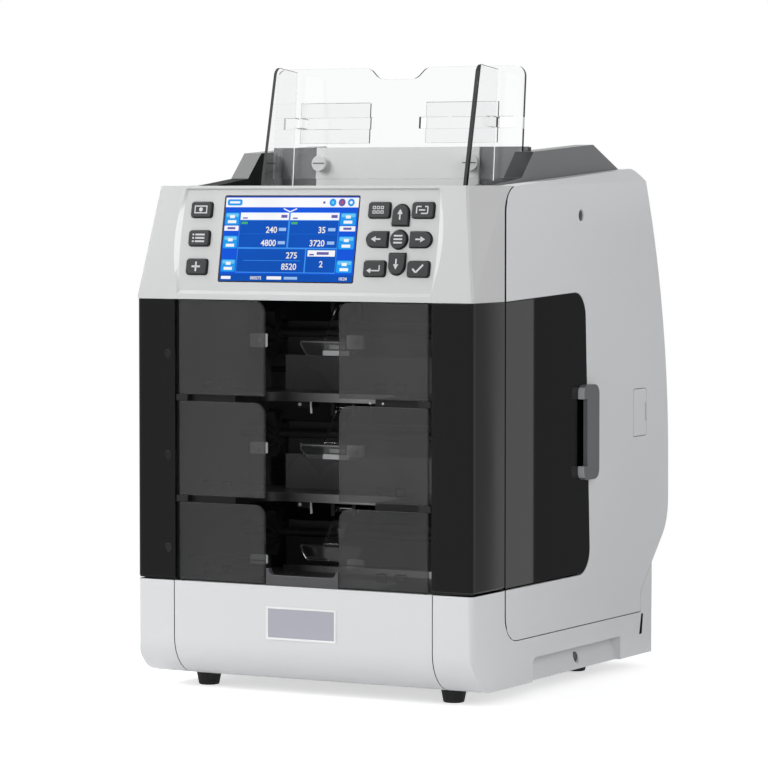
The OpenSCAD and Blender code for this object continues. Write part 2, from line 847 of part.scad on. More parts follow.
// Light plate on the hopper's back wall
back_plate_t = 2;
stud_x = 61.5;
stud_v = 16;
back_plate_half = stud_x + 4.5;

module hopper_back_plate() {
    color("lightgray")
    difference() {
        back_block([-back_plate_half, -back_plate_t, -hopper_depth + 3], [back_plate_half, 0, back_h]);
        both_sides() on_back() translate([stud_x, -10, stud_v]) rotate([-90, 0, 0])
            cylinder(r = 2.3, h = 20);
    }
}

// Clear sheet the notes lean on, with a grip notch and slots for the guides
rest_w = 2 * hopper_half - 3;
rest_back = back_plate_t;
rest_v0 = 5;
slot_v0 = 41;
slot_v1 = 49.4;
guide_in = 22;
guide_out = 13;
neck_w = 6;
// How far each slot runs on towards the middle
slot_spare = 33;

module note_backrest() {
    r = 8;
    slot_w = neck_w + guide_in + guide_out + slot_spare + 2;
    slot_mid = guide_x - neck_w / 2 + (guide_out - guide_in - slot_spare) / 2;
    color("lightcyan", 0.4)
    on_back() translate([0, -rest_back, 0]) rotate([90, 0, 0]) linear_extrude(clear_t)
        difference() {
            polygon(concat([[-rest_w / 2, rest_v0], [rest_w / 2, rest_v0]],
                arc(rest_w / 2 - r, rest_rise - r, r, 0, 90),
                [[27, rest_rise], [23, rest_rise - 8.6], [-23, rest_rise - 8.6], [-27, rest_rise]],
                arc(-rest_w / 2 + r, rest_rise - r, r, 90, 180)));
            for (x = [-1, 1]) {
                translate([x * stud_x, stud_v]) circle(2.3);
                translate([x * slot_mid, (slot_v0 + slot_v1) / 2])
                    square([slot_w, slot_v1 - slot_v0], center = true);
            }
        }
}

// Clear guides that slide along the slots
guide_t = 2.4;
guide_rear = 9;
guide_crest = 24;
guide_foot = 43.5;
guide_plate_w = 58;
guide_plate_low = 10;
guide_plate_high = 11;

module guide() {
    color("lightcyan", 0.4) {
        on_back() translate([guide_x, 0, 0]) rotate([90, 0, 90]) linear_extrude(guide_t)
            polygon(concat([[-guide_rear, -hopper_depth + 3], [-guide_rear, rest_rise - 3]],
                arc(-guide_rear - guide_crest, rest_rise - 9.5, 7, 75, 165),
                [[-guide_rear - guide_foot, -hopper_depth + 3]]));
        back_block([guide_x - neck_w, -guide_rear - 3, slot_v0 + 0.5], [guide_x + 0.5, 0.4, slot_v1 - 0.5]);
        back_block([guide_x - guide_plate_w, -rest_back + move_gap, slot_v0 - guide_plate_low],
            [guide_x, -rest_back + move_gap + 2, slot_v1 + guide_plate_high]);
    }
}

module right_note_guide() { guide(); }
module left_note_guide() { mirror([1, 0, 0]) guide(); }

// Rollers under the hopper floor
pulley_x = pocket_w / 2 + plate_t + 4;
pulley_w = 8;
shaft_left = -pulley_x - pulley_w - 1;

module rolls(y) {
    for (x = [-1, 1])
        difference() {
            bar(roller_r, x * roll_x - roll_w / 2, x * roll_x + roll_w / 2, y, roller_z);
            bar(shaft_r + run_gap, x * roll_x - roll_w, x * roll_x + roll_w, y, roller_z);
        }
}

module pulley(x0, r, y, z) {
    difference() {
        union() {
            bar(pulley_r, x0, x0 + pulley_w, y, z);
            for (x = [x0 - 0.8, x0 + pulley_w])
                bar(pulley_r + 2.4, x, x + 0.8, y, z);
        }
        bar(r + run_gap, x0 - 5, x0 + pulley_w + 5, y, z);
    }
}

module pickup_roller() {
    color("black") {
        bar(shaft_r, -pocket_w / 2 - plate_t, pulley_x + pulley_w + 1, pickup_y, roller_z);
        rolls(pickup_y);
        pulley(pulley_x, shaft_r, pickup_y, roller_z);
    }
}

module feed_roller() {
    color("black") {
        bar(shaft_r, shaft_left, pulley_x + pulley_w + 1, feed_y, roller_z);
        rolls(feed_y);
        pulley(pulley_x, shaft_r, feed_y, roller_z);
        pulley(-pulley_x - pulley_w, shaft_r, feed_y, roller_z);
    }
}

// Chassis plates with every shaft hole
stack_y = tray_d - 11;
stack_shaft_r = 3;
stack_drop = 26;
divert_y = tray_d + 25;
divert_r = 2.5;
divert_z = [upper_floor + 12, middle_floor + 12];
motor_y = base_rear - 65;
motor_z = foot_h + 52;
motor_r = 21;
motor_shaft_r = 3;
chassis_rear = base_rear - wall - 4;
chassis_top = well_floor - wall - 0.6;

module plate_2d() {
    polygon([[wall + 1, foot_h + wall], [chassis_rear, foot_h + wall], [chassis_rear, rear_bulge_z + 60],
        [chassis_rear - 44, chassis_top], [top_start - 15, chassis_top], [top_start - 15, band_top], [wall + 1, band_top]]);
}

module chassis_plate() {
    x = pocket_w / 2;
    difference() {
        along_x(x, x + plate_t) difference() {
            plate_2d();
            translate([0, 0]) square([base_roll_r, foot_h + base_roll_r]);
        }
        for (y = [pickup_y, feed_y])
            bar(shaft_r + run_gap, x - 1, x + plate_t + 1, y, roller_z);
        for (c = ceilings)
            bar(stack_shaft_r + run_gap, x - 1, x + plate_t + 1, stack_y, c - stack_drop);
        for (z = divert_z)
            bar(divert_r + run_gap, x - 1, x + plate_t + 1, divert_y, z);
        bar(motor_shaft_r + 3, x - 1, x + plate_t + 1, motor_y, motor_z);
    }
}

module side_plates() {
    color("slategray") both_sides() chassis_plate();
}

// Pocket trays
tray_half = pocket_w / 2;
door_axis_x = tray_half - 4.7;
door_axis_y = 0.6 + door_t / 2;
tray_front = 5.5;
ear_x = door_axis_x - 4.5;
ear_low = 1.4;
ear_high = 0.6;
pivot_y = tray_d - 39;
pivot_drop = 6;
pivot_r = 1.5;
ear_in = 7;
ear_t = 3;
wheel_x = 76;
wheel_w = 12;
rest_half = 61;
rest_y = tray_d - 19;

// Ears under a ceiling at height c that hold a paddle
module paddle_ears(c) {
    for (x = [-1, 1])
        difference() {
            block([x * (ear_in + ear_t / 2) - ear_t / 2, pivot_y - 4, c - pivot_drop - 4],
                [x * (ear_in + ear_t / 2) + ear_t / 2, pivot_y + 4, c + 1]);
            bar(pivot_r + run_gap, -50, 50, pivot_y, c - pivot_drop);
        }
}

// Floor with finger notch, note rest and slotted back, floor top at f and ceiling at c
module tray(f, c) {
    difference() {
        union() {
            block([-tray_half, tray_front, f - floor_t], [tray_half, tray_d, f]);
            block([-tray_half, tray_d - wall, f - 1], [tray_half, tray_d, c - 18]);
            block([-rest_half, rest_y, f - 1], [rest_half, rest_y + wall, f + 25]);
        }
        hull() {
            post(14, -notch_w / 2 + 14, notch_d - 14, f - floor_t - 1, f + 1);
            post(14, notch_w / 2 - 14, notch_d - 14, f - floor_t - 1, f + 1);
            block([-notch_w / 2, 0, f - floor_t - 1], [notch_w / 2, 5, f + 1]);
        }
        for (x = [-1, 1])
            block([x * wheel_x - wheel_w / 2 - 2, stack_y - stacker_r - 2, f],
                [x * wheel_x + wheel_w / 2 + 2, tray_d + 1, c]);
        bar(stack_shaft_r + 1, -tray_half - 1, tray_half + 1, stack_y, c - stack_drop);
    }
}

// Front corners of a tray between two doors, with the pin holes
module door_ears(f) {
    both_sides()
        difference() {
            block([ear_x, door_axis_y - door_t / 2, f - floor_t + ear_low], [tray_half, tray_front + 1, f - ear_high]);
            post(door_pin_r + run_gap, door_axis_x, door_axis_y, f - floor_t, f - floor_t + ear_low + 1.75);
            post(door_pin_r + run_gap, door_axis_x, door_axis_y, f - ear_high - 1.75, f);
        }
}

module upper_tray() {
    roof = band_top;
    color("black") {
        tray(upper_floor, roof);
        door_ears(upper_floor);
        paddle_ears(upper_floor - floor_t);
        block([-tray_half, 8.6, roof], [tray_half, tray_d, roof + wall]);
        both_sides() block([tray_half - 8, tray_d - wall, roof - 20], [tray_half, tray_d, roof + 1]);
        paddle_ears(roof);
    }
}

module middle_tray() {
    color("black") {
        tray(middle_floor, upper_floor - floor_t);
        door_ears(middle_floor);
        paddle_ears(middle_floor - floor_t);
    }
}

// The lower tray has a low lip with raised ends between its doors
module lower_tray() {
    lip_half = door_free_x - 1;
    lip_end = 2.2;
    color("black") {
        tray(lower_floor, middle_floor - floor_t);
        difference() {
            block([-lip_half, 1.4, base_top], [lip_half, tray_front + 0.5, base_top + 12]);
            hull() for (x = [-1, 1], z = [0, 20])
                translate([x * (lip_half - lip_end - 4.6), front - 1, base_top + 12 + z]) rotate([-90, 0, 0])
                    cylinder(r = 4.6, h = 20);
        }
        block([-notch_w / 2 - 5, tray_front, base_top], [notch_w / 2 + 5, tray_front + 1.6, lower_floor]);
    }
}

// Smoked doors that swing outwards on pins at their outer edge
door_out_x = tray_half - 2.4;
door_free_x = door_out_x - door_w;
door_low = 0.3;
door_high = 1.1;

module door_plate(z0, z1, pin_low, pin_high) {
    r = door_corner_r;
    color("gray", 0.5) {
        at_front(0, 0) translate([0, 0, door_axis_y - door_t / 2]) linear_extrude(door_t)
            polygon(concat([[door_out_x, -z0], [door_free_x, -z0]],
                [for (p = arc(door_free_x + r, z1 - r, r, 180, 90)) [p[0], -p[1]]],
                [[door_out_x, -z1]]));
        post(door_pin_r, door_axis_x, door_axis_y, z0 - pin_low, z1 + pin_high);
    }
}

pin_reach = 1.9;

module upper_right_door() {
    door_plate(upper_floor - door_low, band_top - 0.7, pin_reach, 0.7 + 1.8);
}
module upper_left_door() { mirror([1, 0, 0]) upper_right_door(); }
module middle_right_door() {
    door_plate(middle_floor - door_low, upper_floor - floor_t + door_high, pin_reach, pin_reach);
}
module middle_left_door() { mirror([1, 0, 0]) middle_right_door(); }
module lower_right_door() {
    door_plate(lower_floor - door_low, middle_floor - floor_t + door_high,
        lower_floor - door_low - base_top + 1.8, pin_reach);
}
module lower_left_door() { mirror([1, 0, 0]) lower_right_door(); }

// Stacker shafts with two bladed wheels and a drive pulley
module stacker_wheel(x, z) {
    hub_r = 8;
    translate([x - wheel_w / 2, front + stack_y, z]) rotate([0, 90, 0])
        difference() {
            union() {
                cylinder(r = hub_r, h = wheel_w);
                for (i = [0 : stacker_blades - 1])
                    rotate(i * 360 / stacker_blades) translate([hub_r - 2, 0, 0]) rotate(-28)
                        cube([stacker_r - hub_r, 1.6, wheel_w]);
            }
            translate([0, 0, -1]) cylinder(r = stack_shaft_r + run_gap, h = wheel_w + 2);
        }
}

module stacker(c) {
    z = c - stack_drop;
    color("dimgray") {
        bar(stack_shaft_r, shaft_left, tray_half + plate_t, stack_y, z);
        for (x = [-1, 1]) stacker_wheel(x * wheel_x, z);
        pulley(-pulley_x - pulley_w, stack_shaft_r, stack_y, z);
    }
}

module upper_stacker() { stacker(ceilings[0]); }
module middle_stacker() { stacker(ceilings[1]); }
module lower_stacker() { stacker(ceilings[2]); }

// Clear paddle that rests on the notes, hung from two ears
paddle_y = pivot_y - 21;
paddle_half = 24.5;
paddle_low = 40;
paddle_high = 29;

module paddle(c) {
    arm_half = ear_in - move_gap;
    color("lightcyan", 0.4) {
        bar(pivot_r, -ear_in - ear_t, ear_in + ear_t, pivot_y, c - pivot_drop);
        along_x(-arm_half, arm_half)
            polygon([[pivot_y - 2.2, c - pivot_drop - 2.5], [pivot_y + 2.5, c - pivot_drop + 2.2],
                [pivot_y - 1, c - pivot_drop + 2.6], [paddle_y, c - paddle_high + 1],
                [paddle_y, c - paddle_high - 3]]);
        translate([0, front + paddle_y + 1.2, c]) rotate([90, 0, 0]) linear_extrude(2.4)
            polygon([[-paddle_half, -paddle_high], [-paddle_half, 7 - paddle_low], [5 - paddle_half, -paddle_low],
                [paddle_half - 5, -paddle_low], [paddle_half, 7 - paddle_low], [paddle_half, -paddle_high]]);
    }
}

module upper_paddle() { paddle(ceilings[0]); }
module middle_paddle() { paddle(ceilings[1]); }
module lower_paddle() { paddle(ceilings[2]); }

// Drive motor on the left plate, its shaft with a pulley, and the two belts
motor_len = 50;
motor_seat = 16;
motor_cap = 12;
belt_t = 1.6;
belt_gap = 0.3;

module drive_motor() {
    color("silver")
    difference() {
        union() {
            bar(motor_r, -tray_half, -tray_half + motor_len, motor_y, motor_z);
            bar(motor_r - motor_cap, -tray_half + motor_len - 1, -tray_half + motor_len + 3, motor_y, motor_z);
        }
        bar(motor_shaft_r + run_gap, -tray_half - 1, -tray_half + motor_seat, motor_y, motor_z);
    }
}

module motor_pulley() {
    color("gray") {
        bar(motor_shaft_r, shaft_left, -tray_half + motor_seat - 1, motor_y, motor_z);
        pulley(-pulley_x - pulley_w, motor_shaft_r, motor_y, motor_z);
    }
}

module belt_2d(points, r) {
    hull() for (p = points) translate(p) circle(r);
}

module belt(x0, points) {
    along_x(x0 + 0.6, x0 + pulley_w - 0.6)
        difference() {
            belt_2d(points, pulley_r + belt_gap + belt_t);
            belt_2d(points, pulley_r + belt_gap);
        }
}

module drive_belt() {
    color("black") {
        belt(-pulley_x - pulley_w, concat([[feed_y, roller_z], [motor_y, motor_z]],
            [for (c = ceilings) [stack_y, c - stack_drop]]));
        belt(pulley_x, [[feed_y, roller_z], [pickup_y, roller_z]]);
    }
}

// Gates that turn a note into a pocket
flap_w = 30;
flap_pitch = 60;
flap_reach = 18;

module diverter(z) {
    color("dimgray") {
        bar(divert_r, -tray_half - plate_t, tray_half + plate_t, divert_y, z);
        for (i = [-1 : 1])
            along_x(i * flap_pitch - flap_w / 2, i * flap_pitch + flap_w / 2) translate([divert_y, z])
                polygon([[-1.6, -divert_r - 1], [-1.6, flap_reach], [0.4, flap_reach],
                    [divert_r + 1, 0], [1.6, -divert_r - 1]]);
    }
}

module upper_diverter() { diverter(divert_z[0]); }
module lower_diverter() { diverter(divert_z[1]); }

// Supply on the base floor, and the inlet and switch frame in the rear wall
supply_w = 106;
supply_d = 72;
supply_h = 46;
supply_rear = 23;

module power_supply() {
    frame = 1.6;
    supply_x = (inlet_x + switch_x) / 2 + 1;
    color("silver") {
        block([supply_x - supply_w / 2, base_rear - supply_rear - supply_d, foot_h + wall],
            [supply_x + supply_w / 2, base_rear - supply_rear, foot_h + wall + supply_h]);
        difference() {
            union() {
                block([inlet_x - inlet_w / 2 + 0.3, base_rear - 16, rear_port_z - inlet_h / 2 + 0.3],
                    [inlet_x + inlet_w / 2 - 0.3, base_rear + 1, rear_port_z + inlet_h / 2 - 0.3]);
                block([inlet_x - inlet_w / 2 - 3, base_rear, rear_port_z - inlet_h / 2 - 3],
                    [inlet_x + inlet_w / 2 + 3, base_rear + 2, rear_port_z + inlet_h / 2 + 3]);
            }
            block([inlet_x - 11.5, base_rear - 13, rear_port_z - 7.5], [inlet_x + 11.5, base_rear + 3, rear_port_z + 7.5]);
        }
        for (x = [-7, 0, 7])
            block([inlet_x + x - 1, base_rear - 13.5, rear_port_z - 2 + (x == 0 ? 3 : 0)],
                [inlet_x + x + 1, base_rear - 3, rear_port_z + 2 + (x == 0 ? 3 : 0)]);
        difference() {
            union() {
                block([switch_x - switch_w / 2 + 0.3, base_rear - 16, rear_port_z - switch_h / 2 + 0.3],
                    [switch_x + switch_w / 2 - 0.3, base_rear + 1, rear_port_z + switch_h / 2 - 0.3]);
                block([switch_x - switch_w / 2 - 2, base_rear, rear_port_z - switch_h / 2 - 2],
                    [switch_x + switch_w / 2 + 2, base_rear + 1.6, rear_port_z + switch_h / 2 + 2]);
            }
            block([switch_x - switch_w / 2 + frame, base_rear - 12, rear_port_z - switch_h / 2 + frame],
                [switch_x + switch_w / 2 - frame, base_rear + 3, rear_port_z + switch_h / 2 - frame]);
            bar(1.25, switch_x - switch_w / 2 + 0.4, switch_x + switch_w / 2 - 0.4, base_rear - 4, rear_port_z);
        }
    }
}

// Rocker, shown pressed at its lower end
rocker_tilt = 8;

module power_switch() {
    half = switch_w / 2 - 1.6 - move_gap;
    reach = switch_h / 2 - 1.6 - 1.4;
    color("black")
    translate([0, front + base_rear - 4, rear_port_z]) rotate([rocker_tilt, 0, 0]) {
        translate([switch_x - half, 0, 0]) rotate([90, 0, 90]) linear_extrude(2 * half)
            polygon([[-4, -3], [2, -reach], [4.4, -reach], [3.2, 0], [4.4, reach], [2, reach], [-4, 3]]);
        translate([switch_x - half - 1.2, 0, 0]) rotate([0, 90, 0]) cylinder(r = 1.2, h = 2 * half + 2.4);
    }
}

// Scanning bars above and below the note path
sensor_y = hopper_back_y + 19;
sensor_d = 20;
sensor_h = 14;
sensor_path = 4;
sensor_drop = 8;

module sensor_bars() {
    color("black")
    for (i = [0, 1])
        translate([0, 0, -i * (sensor_h + sensor_path)])
            block([-tray_half, sensor_y, chassis_top - sensor_drop - sensor_h],
                [tray_half, sensor_y + sensor_d, chassis_top - sensor_drop]);
}

base_shell();
base_front_panel();
nameplate();
rubber_feet();
left_front_pillar();
right_front_pillar();
screws();
control_fascia();
screen_window();
circuit_boards();
key_left_top();
key_left_middle();
key_left_bottom();
key_mode();
key_up();
key_back();
key_left();
key_menu();
key_right();
key_return();
key_down();
key_confirm();
right_side_cover();
left_side_cover();
left_side_inlay();
right_side_door();
door_handle();
port_flap();
rear_cover();
hopper_surround();
hopper_back_plate();
note_backrest();
left_note_guide();
right_note_guide();
pickup_roller();
feed_roller();
side_plates();
upper_tray();
middle_tray();
lower_tray();
upper_left_door();
upper_right_door();
middle_left_door();
middle_right_door();
lower_left_door();
lower_right_door();
upper_stacker();
middle_stacker();
lower_stacker();
upper_paddle();
middle_paddle();
lower_paddle();
drive_motor();
motor_pulley();
drive_belt();
upper_diverter();
lower_diverter();
power_supply();
power_switch();
sensor_bars();
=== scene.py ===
# %% [markdown]
# # A table-top banknote counter
# The solid model already fixes where every piece sits and how big it is. This lesson gives those
# solids their surfaces: rounded moulded edges, plastics with grain, smoked and clear acrylic, a lit
# display and the small details a solid model leaves out. Everything is in metres in one frame.

import json
import math

import bmesh
import bpy
from mathutils import Matrix, Vector


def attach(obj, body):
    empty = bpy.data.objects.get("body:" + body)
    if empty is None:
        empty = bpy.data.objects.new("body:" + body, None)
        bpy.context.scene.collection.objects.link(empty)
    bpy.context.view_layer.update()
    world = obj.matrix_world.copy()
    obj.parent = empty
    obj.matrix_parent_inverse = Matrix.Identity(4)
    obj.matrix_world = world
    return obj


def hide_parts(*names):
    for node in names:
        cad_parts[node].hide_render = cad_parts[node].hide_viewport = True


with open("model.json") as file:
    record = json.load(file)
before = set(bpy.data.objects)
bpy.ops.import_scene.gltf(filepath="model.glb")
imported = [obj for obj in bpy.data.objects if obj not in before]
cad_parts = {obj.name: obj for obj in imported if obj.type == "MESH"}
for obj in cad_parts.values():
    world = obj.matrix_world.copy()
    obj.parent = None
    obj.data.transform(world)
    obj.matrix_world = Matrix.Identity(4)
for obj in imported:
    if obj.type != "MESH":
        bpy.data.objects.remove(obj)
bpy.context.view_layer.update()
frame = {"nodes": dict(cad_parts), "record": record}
MM = 0.001
# Main places of the cabinet, in millimetres
FRONT = -160.0  # Y of the front face
SIDE = 134.0  # X of the right side
BASE_TOP = 78.0  # Z where pillars and doors stand on the base
HEAD_FOOT, HEAD_TOP = 277.0, 356.5  # Z of the control head's two edges
LEVELS = ("upper", "middle", "lower")
SIDES = {"left": -1, "right": 1}
carrier = {n: body for body, members in frame["record"]["behaviour"]["bodies"].items() for n in members}

# %% [markdown]
# ## The camera
# The camera stands where the photographer stood: about a metre and a quarter to the right of the
# middle, more than two metres in front, and as high as the top of the control head, with a long lens.
# A long lens keeps upright edges nearly parallel, which is why the cabinet looks so square.

# %% Camera at the photograph's viewing angle
STANDPOINT = (1.2754, -2.3675, 0.3508)
LOOKS_DOWN, LOOKS_LEFT = 2.95, 28.72  # degrees
camera_data = bpy.data.cameras.new("photo_camera")
camera_data.lens = 172.93
camera_data.sensor_width = 36.0
camera = bpy.data.objects.new("photo_camera", camera_data)
camera.location = STANDPOINT
camera.rotation_euler = (math.radians(90 - LOOKS_DOWN), 0.0, math.radians(LOOKS_LEFT))
bpy.context.scene.collection.objects.link(camera)
bpy.context.scene.camera = camera
bpy.context.scene.view_settings.view_transform = "Standard"
print("camera at", tuple(camera.location))

# %% [markdown]
# ## Nodes for the finishes
# A material here is a small tree of nodes. A few helpers keep the trees readable: they add a node and
# fill its sockets by name or in order, rescale a value, spread noise over a piece, and turn a screen
# colour such as #d9dadb into the linear values that shaders work in.


# %% Helpers that add nodes
def fill(tree, socket, value):
    """Gives a socket a plain value or another node's output."""
    if isinstance(value, bpy.types.NodeSocket):
        tree.links.new(value, socket)
    else:
        socket.default_value = value


def put(tree, kind, settings=None, **sockets):
    """Adds a node and fills its sockets by name, with _ for a space."""
    made = tree.nodes.new(kind)
    for key, value in (settings or {}).items():
        setattr(made, key, value)
    for key, value in sockets.items():
        fill(tree, made.inputs[key.replace("_", " ")], value)
    return made


def wired(tree, kind, *sources, **settings):
    """Adds a node, fills its sockets in order and gives its first output."""
    made = put(tree, kind, settings)
    for socket, value in zip(made.inputs, sources):
        fill(tree, socket, value)
    return made.outputs[0]


print("node helpers ready")


# %% Helpers for values and colours
def own_place(tree):
    """Where a point lies on its own piece, in metres."""
    return put(tree, "ShaderNodeTexCoord").outputs["Object"]


def noise(tree, scale, detail, where=None):
    """Soft random values over a piece."""
    place = own_place(tree) if where is None else where
    return put(tree, "ShaderNodeTexNoise", Vector=place, Scale=scale, Detail=detail).outputs["Fac"]


def ranged(tree, value, low=0.0, high=1.0, to_low=0.0, to_high=1.0, **settings):
    """A varying value, rescaled from one range to another."""
    return put(tree, "ShaderNodeMapRange", settings, Value=value, From_Min=low, From_Max=high,
               To_Min=to_low, To_Max=to_high).outputs["Result"]


def combined(tree, operation, first, second):
    """One value from two, such as their product."""
    return wired(tree, "ShaderNodeMath", first, second, operation=operation)


def tint(code, scale=1.0):
    """Linear colour of a screen colour code."""
    parts = [int(code[i : i + 2], 16) / 255 for i in (1, 3, 5)]
    linear = [c / 12.92 if c <= 0.04045 else ((c + 0.055) / 1.055) ** 2.4 for c in parts]
    return [min(1.0, c * scale) for c in linear] + [1.0]


def mixed(tree, factor, first, second):
    """A colour between two colours, by a factor that changes over the surface."""
    made = put(tree, "ShaderNodeMix", {"data_type": "RGBA"})
    for index, value in ((0, factor), (6, first), (7, second)):  # the node's sockets for colours
        fill(tree, made.inputs[index], value)
    return made.outputs[2]


def start_group(name, inputs, outputs):
    """An empty shader group with float sockets, and its two ends."""
    tree = bpy.data.node_groups.new(name, "ShaderNodeTree")
    for label, value in inputs.items():
        socket = tree.interface.new_socket(label, in_out="INPUT", socket_type="NodeSocketFloat")
        socket.default_value = value
    for label in outputs:
        tree.interface.new_socket(label, in_out="OUTPUT", socket_type="NodeSocketFloat")
    return tree, tree.nodes.new("NodeGroupInput").outputs, tree.nodes.new("NodeGroupOutput").inputs


print("value and colour helpers ready")

# %% [markdown]
# ## Effects that several finishes share
# Moulded plastic shows a fine spark-eroded grain and a very faint cloudiness. Edges go slightly paler or
# shinier, partly as wear where hands and notes rub and partly as a painted edge highlight; upward faces
# gather a little dust, and glossy covers carry wiped streaks. Each effect is one group, placed in every
# material that needs it with its own values.

# %% Shared groups: grain, rubbed edges with a painted highlight, wiped haze, settled dust
GRAIN, ends_in, ends_out = start_group(
    "moulded grain", {"Grain scale": 2400.0, "Mottle scale": 7.0}, ("Grain", "Mottle")
)
for label, detail in (("Grain", 2.0), ("Mottle", 4.0)):
    GRAIN.links.new(noise(GRAIN, ends_in[label + " scale"], detail), ends_out[label])

# Rubbed edges: wear and a painted edge highlight together, on the faces that a bevel made
RUB_AND_HIGHLIGHT, ends_in, ends_out = start_group("rubbed edges and painted highlight", {"Break scale": 90.0}, ("Rub_and_highlight",))
edge = put(RUB_AND_HIGHLIGHT, "ShaderNodeAttribute", {"attribute_name": "rub"}).outputs["Fac"]
rub_and_highlight_share = ranged(RUB_AND_HIGHLIGHT, noise(RUB_AND_HIGHLIGHT, ends_in["Break scale"], 5.0), 0.38, 0.66)
RUB_AND_HIGHLIGHT.links.new(combined(RUB_AND_HIGHLIGHT, "MULTIPLY", edge, rub_and_highlight_share), ends_out["Rub_and_highlight"])

WIPED, ends_in, ends_out = start_group("wiped haze", {"Streak scale": 18.0}, ("Haze",))
stretched = put(WIPED, "ShaderNodeMapping", Vector=own_place(WIPED), Scale=(1.0, 1.0, 0.28),
                Rotation=(0.5, 0.2, 0.0)).outputs[0]
streaks = noise(WIPED, ends_in["Streak scale"], 6.0, stretched)
WIPED.links.new(ranged(WIPED, streaks, 0.35, 0.75), ends_out["Haze"])

DUST, ends_in, ends_out = start_group("settled dust", {"Amount": 0.3}, ("Dust",))
normal = put(DUST, "ShaderNodeNewGeometry").outputs["Normal"]
upward = ranged(DUST, put(DUST, "ShaderNodeSeparateXYZ", Vector=normal).outputs["Z"], 0.7, 1.0)
sparse = ranged(DUST, noise(DUST, 55.0, 8.0), 0.4, 0.8)
lying = combined(DUST, "MULTIPLY", upward, sparse)
DUST.links.new(combined(DUST, "MULTIPLY", lying, ends_in["Amount"]), ends_out["Dust"])
print("groups:", [g.name for g in bpy.data.node_groups])

# %% [markdown]
# ## Moulded finishes
# The covers are injection-moulded plastic, off-white with a dull sheen. The control head is a cooler silver
# grey, the pocket frame a glossy charcoal. They are one kind of material with different values, so one
# function builds them all: colour from the cloudiness and the rubbed edges, which are wear and a painted edge
# highlight together, roughness from the cloudiness, and a bump from the grain.

# %% One builder for all opaque plastics, rubbers and paints
DUST_COLOUR = "#b9b6ae"
GRAIN_HEIGHT = 0.2 * MM


def grouped(tree, group, **values):
    """A shared group placed in a material, with its own values."""
    return put(tree, "ShaderNodeGroup", {"node_tree": group}, **values).outputs


def new_finish(name):
    """A material, its tree and its main shader."""
    material = bpy.data.materials.new(name)
    material.use_nodes = True
    return material, material.node_tree, material.node_tree.nodes["Principled BSDF"]


def set_evenly(shader, **values):
    """Sets what is the same all over a surface."""
    for label, value in values.items():
        shader.inputs[label.replace("_", " ")].default_value = value


def moulded(name, colour, rough, tone, depth, spread=0.05, grain=2400.0, rub=None, dust=None,
            streaks=0.0, fade=None, **constants):
    """A plastic, rubber or paint; fade is a left-hand colour and the two X (mm) between which it goes, a
    painted gradient of light and shade.
    """
    material, tree, shader = new_finish(name)
    grains = grouped(tree, GRAIN, Grain_scale=grain)
    paint = mixed(tree, grains["Mottle"], tint(colour, 1 - tone), tint(colour, 1 + tone))
    if rub:
        paint = mixed(tree, grouped(tree, RUB_AND_HIGHLIGHT)["Rub_and_highlight"], paint, tint(rub))
    if fade:
        left_colour, start, end = fade
        place = put(tree, "ShaderNodeSeparateXYZ", Vector=own_place(tree))
        share = ranged(tree, place.outputs["X"], start * MM, end * MM)
        paint = mixed(tree, share, tint(left_colour), paint)
    if dust:
        paint = mixed(tree, grouped(tree, DUST, Amount=dust)["Dust"], paint, tint(DUST_COLOUR))
    varying = (grouped(tree, WIPED)["Haze"], 0.0, 1.0) if streaks else (grains["Mottle"], 0.3, 0.7)
    sheen = ranged(tree, *varying, max(0.02, rough - spread), rough + max(spread, streaks))
    bump = put(tree, "ShaderNodeBump", Height=grains["Grain"], Strength=depth, Distance=GRAIN_HEIGHT)
    for label, value in (("Base Color", paint), ("Roughness", sheen), ("Normal", bump.outputs["Normal"])):
        tree.links.new(value, shader.inputs[label])
    set_evenly(shader, **constants)
    return material


print("builder for moulded finishes ready")
